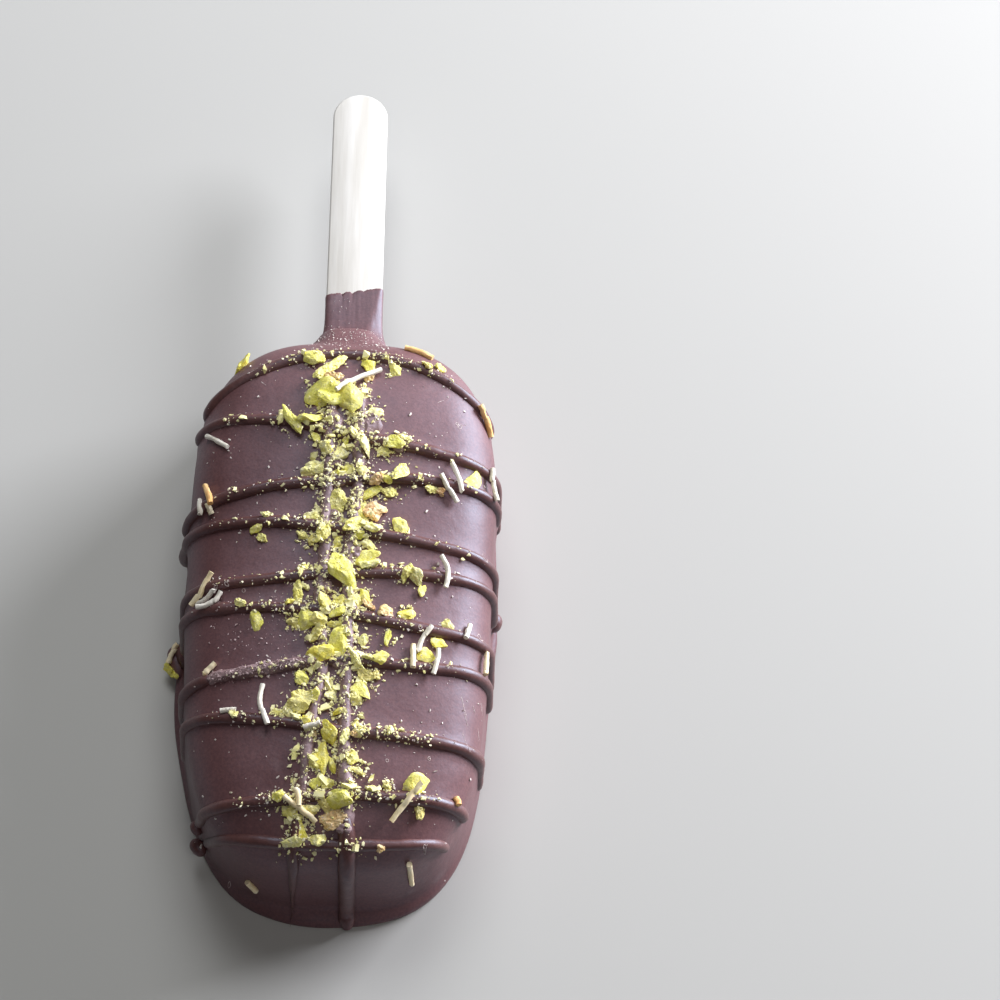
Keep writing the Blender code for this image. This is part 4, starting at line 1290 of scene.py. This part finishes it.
# %% [markdown]
# ## Nuts, pastry and wood
# A pistachio kernel is yellow green inside, paler where the knife crushed it and a
# little darker where a bit of skin stays. Each chip carries its own tint in an
# attribute, and noise breaks it up, which is far less work than a material for each.
# The pastry is white, cream or browned, and the birch has faint long grain.

# %% Nuts
SKIN_SHADE = (0.86, 0.84, 0.62)


def nut_finish(name, first, second, third, pale):
    """A kernel in three tints, crushed to a paler one in patches."""
    tree, shader = new_finish(name)
    tint = linked(tree, "ShaderNodeAttribute", {}, attribute_name="tint").outputs["Fac"]
    base = ramp(tree, tint, (0.1, first), (0.5, second), (0.9, third))
    crushed = ramp(tree, speckle(tree, 900, 4.0, 0.6), (0.45, BLACK), (0.72, WHITE))
    colour = blend(tree, crushed, base, (*pale, 1))
    dark = ramp(tree, speckle(tree, 420, 3.0), (0.24, SKIN_SHADE), (0.38, WHITE))
    feed(tree, shader, {
        "Base Color": blend(tree, 1.0, colour, dark, "MULTIPLY"),
        "Roughness": 0.62,
        "Specular IOR Level": 0.35,
        "Subsurface Weight": 0.15,
        "Subsurface Radius": (0.0009, 0.0008, 0.0003),
        "Subsurface Scale": 1.0,
    })
    bump(tree, shader, speckle(tree, 3200, 4.0, 0.6), 0.65, 0.00028)


KERNELS = (
    ("pistachio_bright",
     (0.94, 0.88, 0.24), (0.86, 0.84, 0.18), (0.97, 0.86, 0.15), (0.98, 0.94, 0.46)),
    ("pistachio_olive",
     (0.86, 0.80, 0.24), (0.90, 0.86, 0.28), (0.78, 0.68, 0.24), (0.96, 0.92, 0.52)),
    ("pistachio_pale",
     (0.93, 0.89, 0.42), (0.96, 0.92, 0.38), (0.90, 0.84, 0.30), (0.99, 0.96, 0.68)),
    ("toasted_crumb",
     (0.80, 0.48, 0.22), (0.70, 0.52, 0.26), (0.86, 0.58, 0.30), (0.92, 0.78, 0.52)),
)
for row in KERNELS:
    nut_finish(*row)

# %% Pastry, crumbs and wood


def plain_finish(name, low, high, scale, roughness, grain, stretch=(1, 1, 1)):
    """Two colours mixed by one noise, which bumps the surface too."""
    tree, shader = new_finish(name)
    field = speckle(tree, scale, 4.0, 0.55, stretch)
    colour = ramp(tree, field, (0.35, low), (0.65, high))
    feed(tree, shader, {"Base Color": colour, "Roughness": roughness, "Specular IOR Level": 0.3})
    bump(tree, shader, field, grain, 0.0002)


PLAIN = (
    ("pastry_white", (0.80, 0.76, 0.67), (0.93, 0.91, 0.86), 500, 0.6, 0.4),
    ("pastry_cream", (0.90, 0.74, 0.44), (0.98, 0.90, 0.68), 400, 0.6, 0.4),
    ("pastry_browned", (0.80, 0.46, 0.17), (0.94, 0.70, 0.38), 350, 0.6, 0.4),
    ("crumb_coarse", (0.93, 0.89, 0.36), (0.98, 0.95, 0.60), 600, 0.7, 0.5),
    ("crumb_green", (0.92, 0.88, 0.42), (0.98, 0.95, 0.64), 700, 0.7, 0.3),
    ("crumb_cream", (0.88, 0.81, 0.54), (0.98, 0.95, 0.76), 700, 0.7, 0.3),
    ("crumb_dust", (0.62, 0.54, 0.55), (0.92, 0.88, 0.84), 700, 0.7, 0.3),
    ("crumb_grit", (0.34, 0.23, 0.24), (0.76, 0.61, 0.65), 900, 0.7, 0.3),
    ("pale_scuff", (0.44, 0.34, 0.36), (0.74, 0.66, 0.66), 900, 0.7, 0.3),
    ("birch_veneer", (0.66, 0.65, 0.62), (0.80, 0.80, 0.79), 420, 0.62, 0.35, (1, 0.08, 1)),
)
for row in PLAIN:
    plain_finish(*row)
print(len(bpy.data.materials), "finishes")

# %% [markdown]
# ## Put the pieces on the bar
# Every piece rides on the one body. They could be joined to one mesh, but apart each
# keeps its own finish. The coat and the stick stand in for the two plain solids.

# %% Dress and ride
DRESS = (
    (chocolate_coat, "satin_chocolate", "dark_chocolate"),
    (drizzle, "poured_chocolate", "dark_chocolate"),
    (ribbons, "scuffed_chocolate", "dark_chocolate"),
    (sleeve, "satin_chocolate", "dark_chocolate"),
    (stick, "birch_veneer", "pale_wood"),
    (bright_nuts, "pistachio_bright", "pistachio"),
    (olive_nuts, "pistachio_olive", "pistachio"),
    (pale_nuts, "pistachio_pale", "pistachio"),
    (toasted_nuts, "toasted_crumb", "pastry"),
    (white_strands, "pastry_white", "pastry"),
    (cream_strands, "pastry_cream", "pastry"),
    (browned_strands, "pastry_browned", "pastry"),
    (coarse_crumbs, "crumb_coarse", "pistachio"),
    (green_crumbs, "crumb_green", "pistachio"),
    (cream_crumbs, "crumb_cream", "pastry"),
    (dust, "crumb_dust", "pastry"),
    (neck_dust, "crumb_dust", "pastry"),
    (grit, "crumb_grit", "pastry"),
    (scuffs, "pale_scuff", "pastry"),
)
for piece, finish, slot in DRESS:
    piece.data.materials.clear()
    piece.data.materials.append(bpy.data.materials[finish])
    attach(piece, "root")
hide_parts("chocolate_bar")
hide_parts("stick")

# %% [markdown]
# ## Floor and light
# The floor is a plain pale sheet; a white one would throw so much light back that the
# walls turn grey. The light is a low window behind the head on the right, a weaker sky
# high behind the head and a faint warm light in front. A ring of lamps would be more
# even, but with nothing on the left the left wall and the foot fall into shade, as in
# the photo.

# %% Build the studio
FLOOR_HALF = 1.2
LIGHT_SIZE = 0.45
LIGHTS = (
    ("window", (0.640, 0.440, 0.200), 17.5, (0.98, 0.97, 1.0)),
    ("sky", (0.000, 0.481, 0.639), 3.1, (1.0, 1.0, 0.98)),
    ("front", (0.09, -0.325, 0.725), 0.8, (1.0, 0.94, 0.88)),
)
floor_mesh = bmesh.new()
bmesh.ops.create_grid(floor_mesh, x_segments=1, y_segments=1, size=FLOOR_HALF)
floor = object_from(floor_mesh, "floor", outward=False)
feed(*new_finish("floor_paper"), {"Base Color": (0.55, 0.56, 0.56, 1), "Roughness": 0.8})
floor.data.materials.append(bpy.data.materials["floor_paper"])


def soft_light(name, place, watts, colour):
    """A square soft light that looks at the bar."""
    data = bpy.data.lights.new(name, "AREA")
    data.shape = "RECTANGLE"
    data.size = data.size_y = LIGHT_SIZE
    data.energy = watts
    data.color = colour
    away = Vector(place)
    turned = away.to_track_quat("Z", "Y").to_matrix().to_4x4()
    new_object(name, data).matrix_world = Matrix.Translation(away) @ turned


for row in LIGHTS:
    soft_light(*row)
world = bpy.data.worlds.new("studio")
world.use_nodes = True
background = world.node_tree.nodes["Background"]
feed(world.node_tree, background, {"Color": (0.95, 0.96, 1.0, 1), "Strength": 0.03})
bpy.context.scene.world = world
bpy.context.scene.view_settings.view_transform = "Standard"
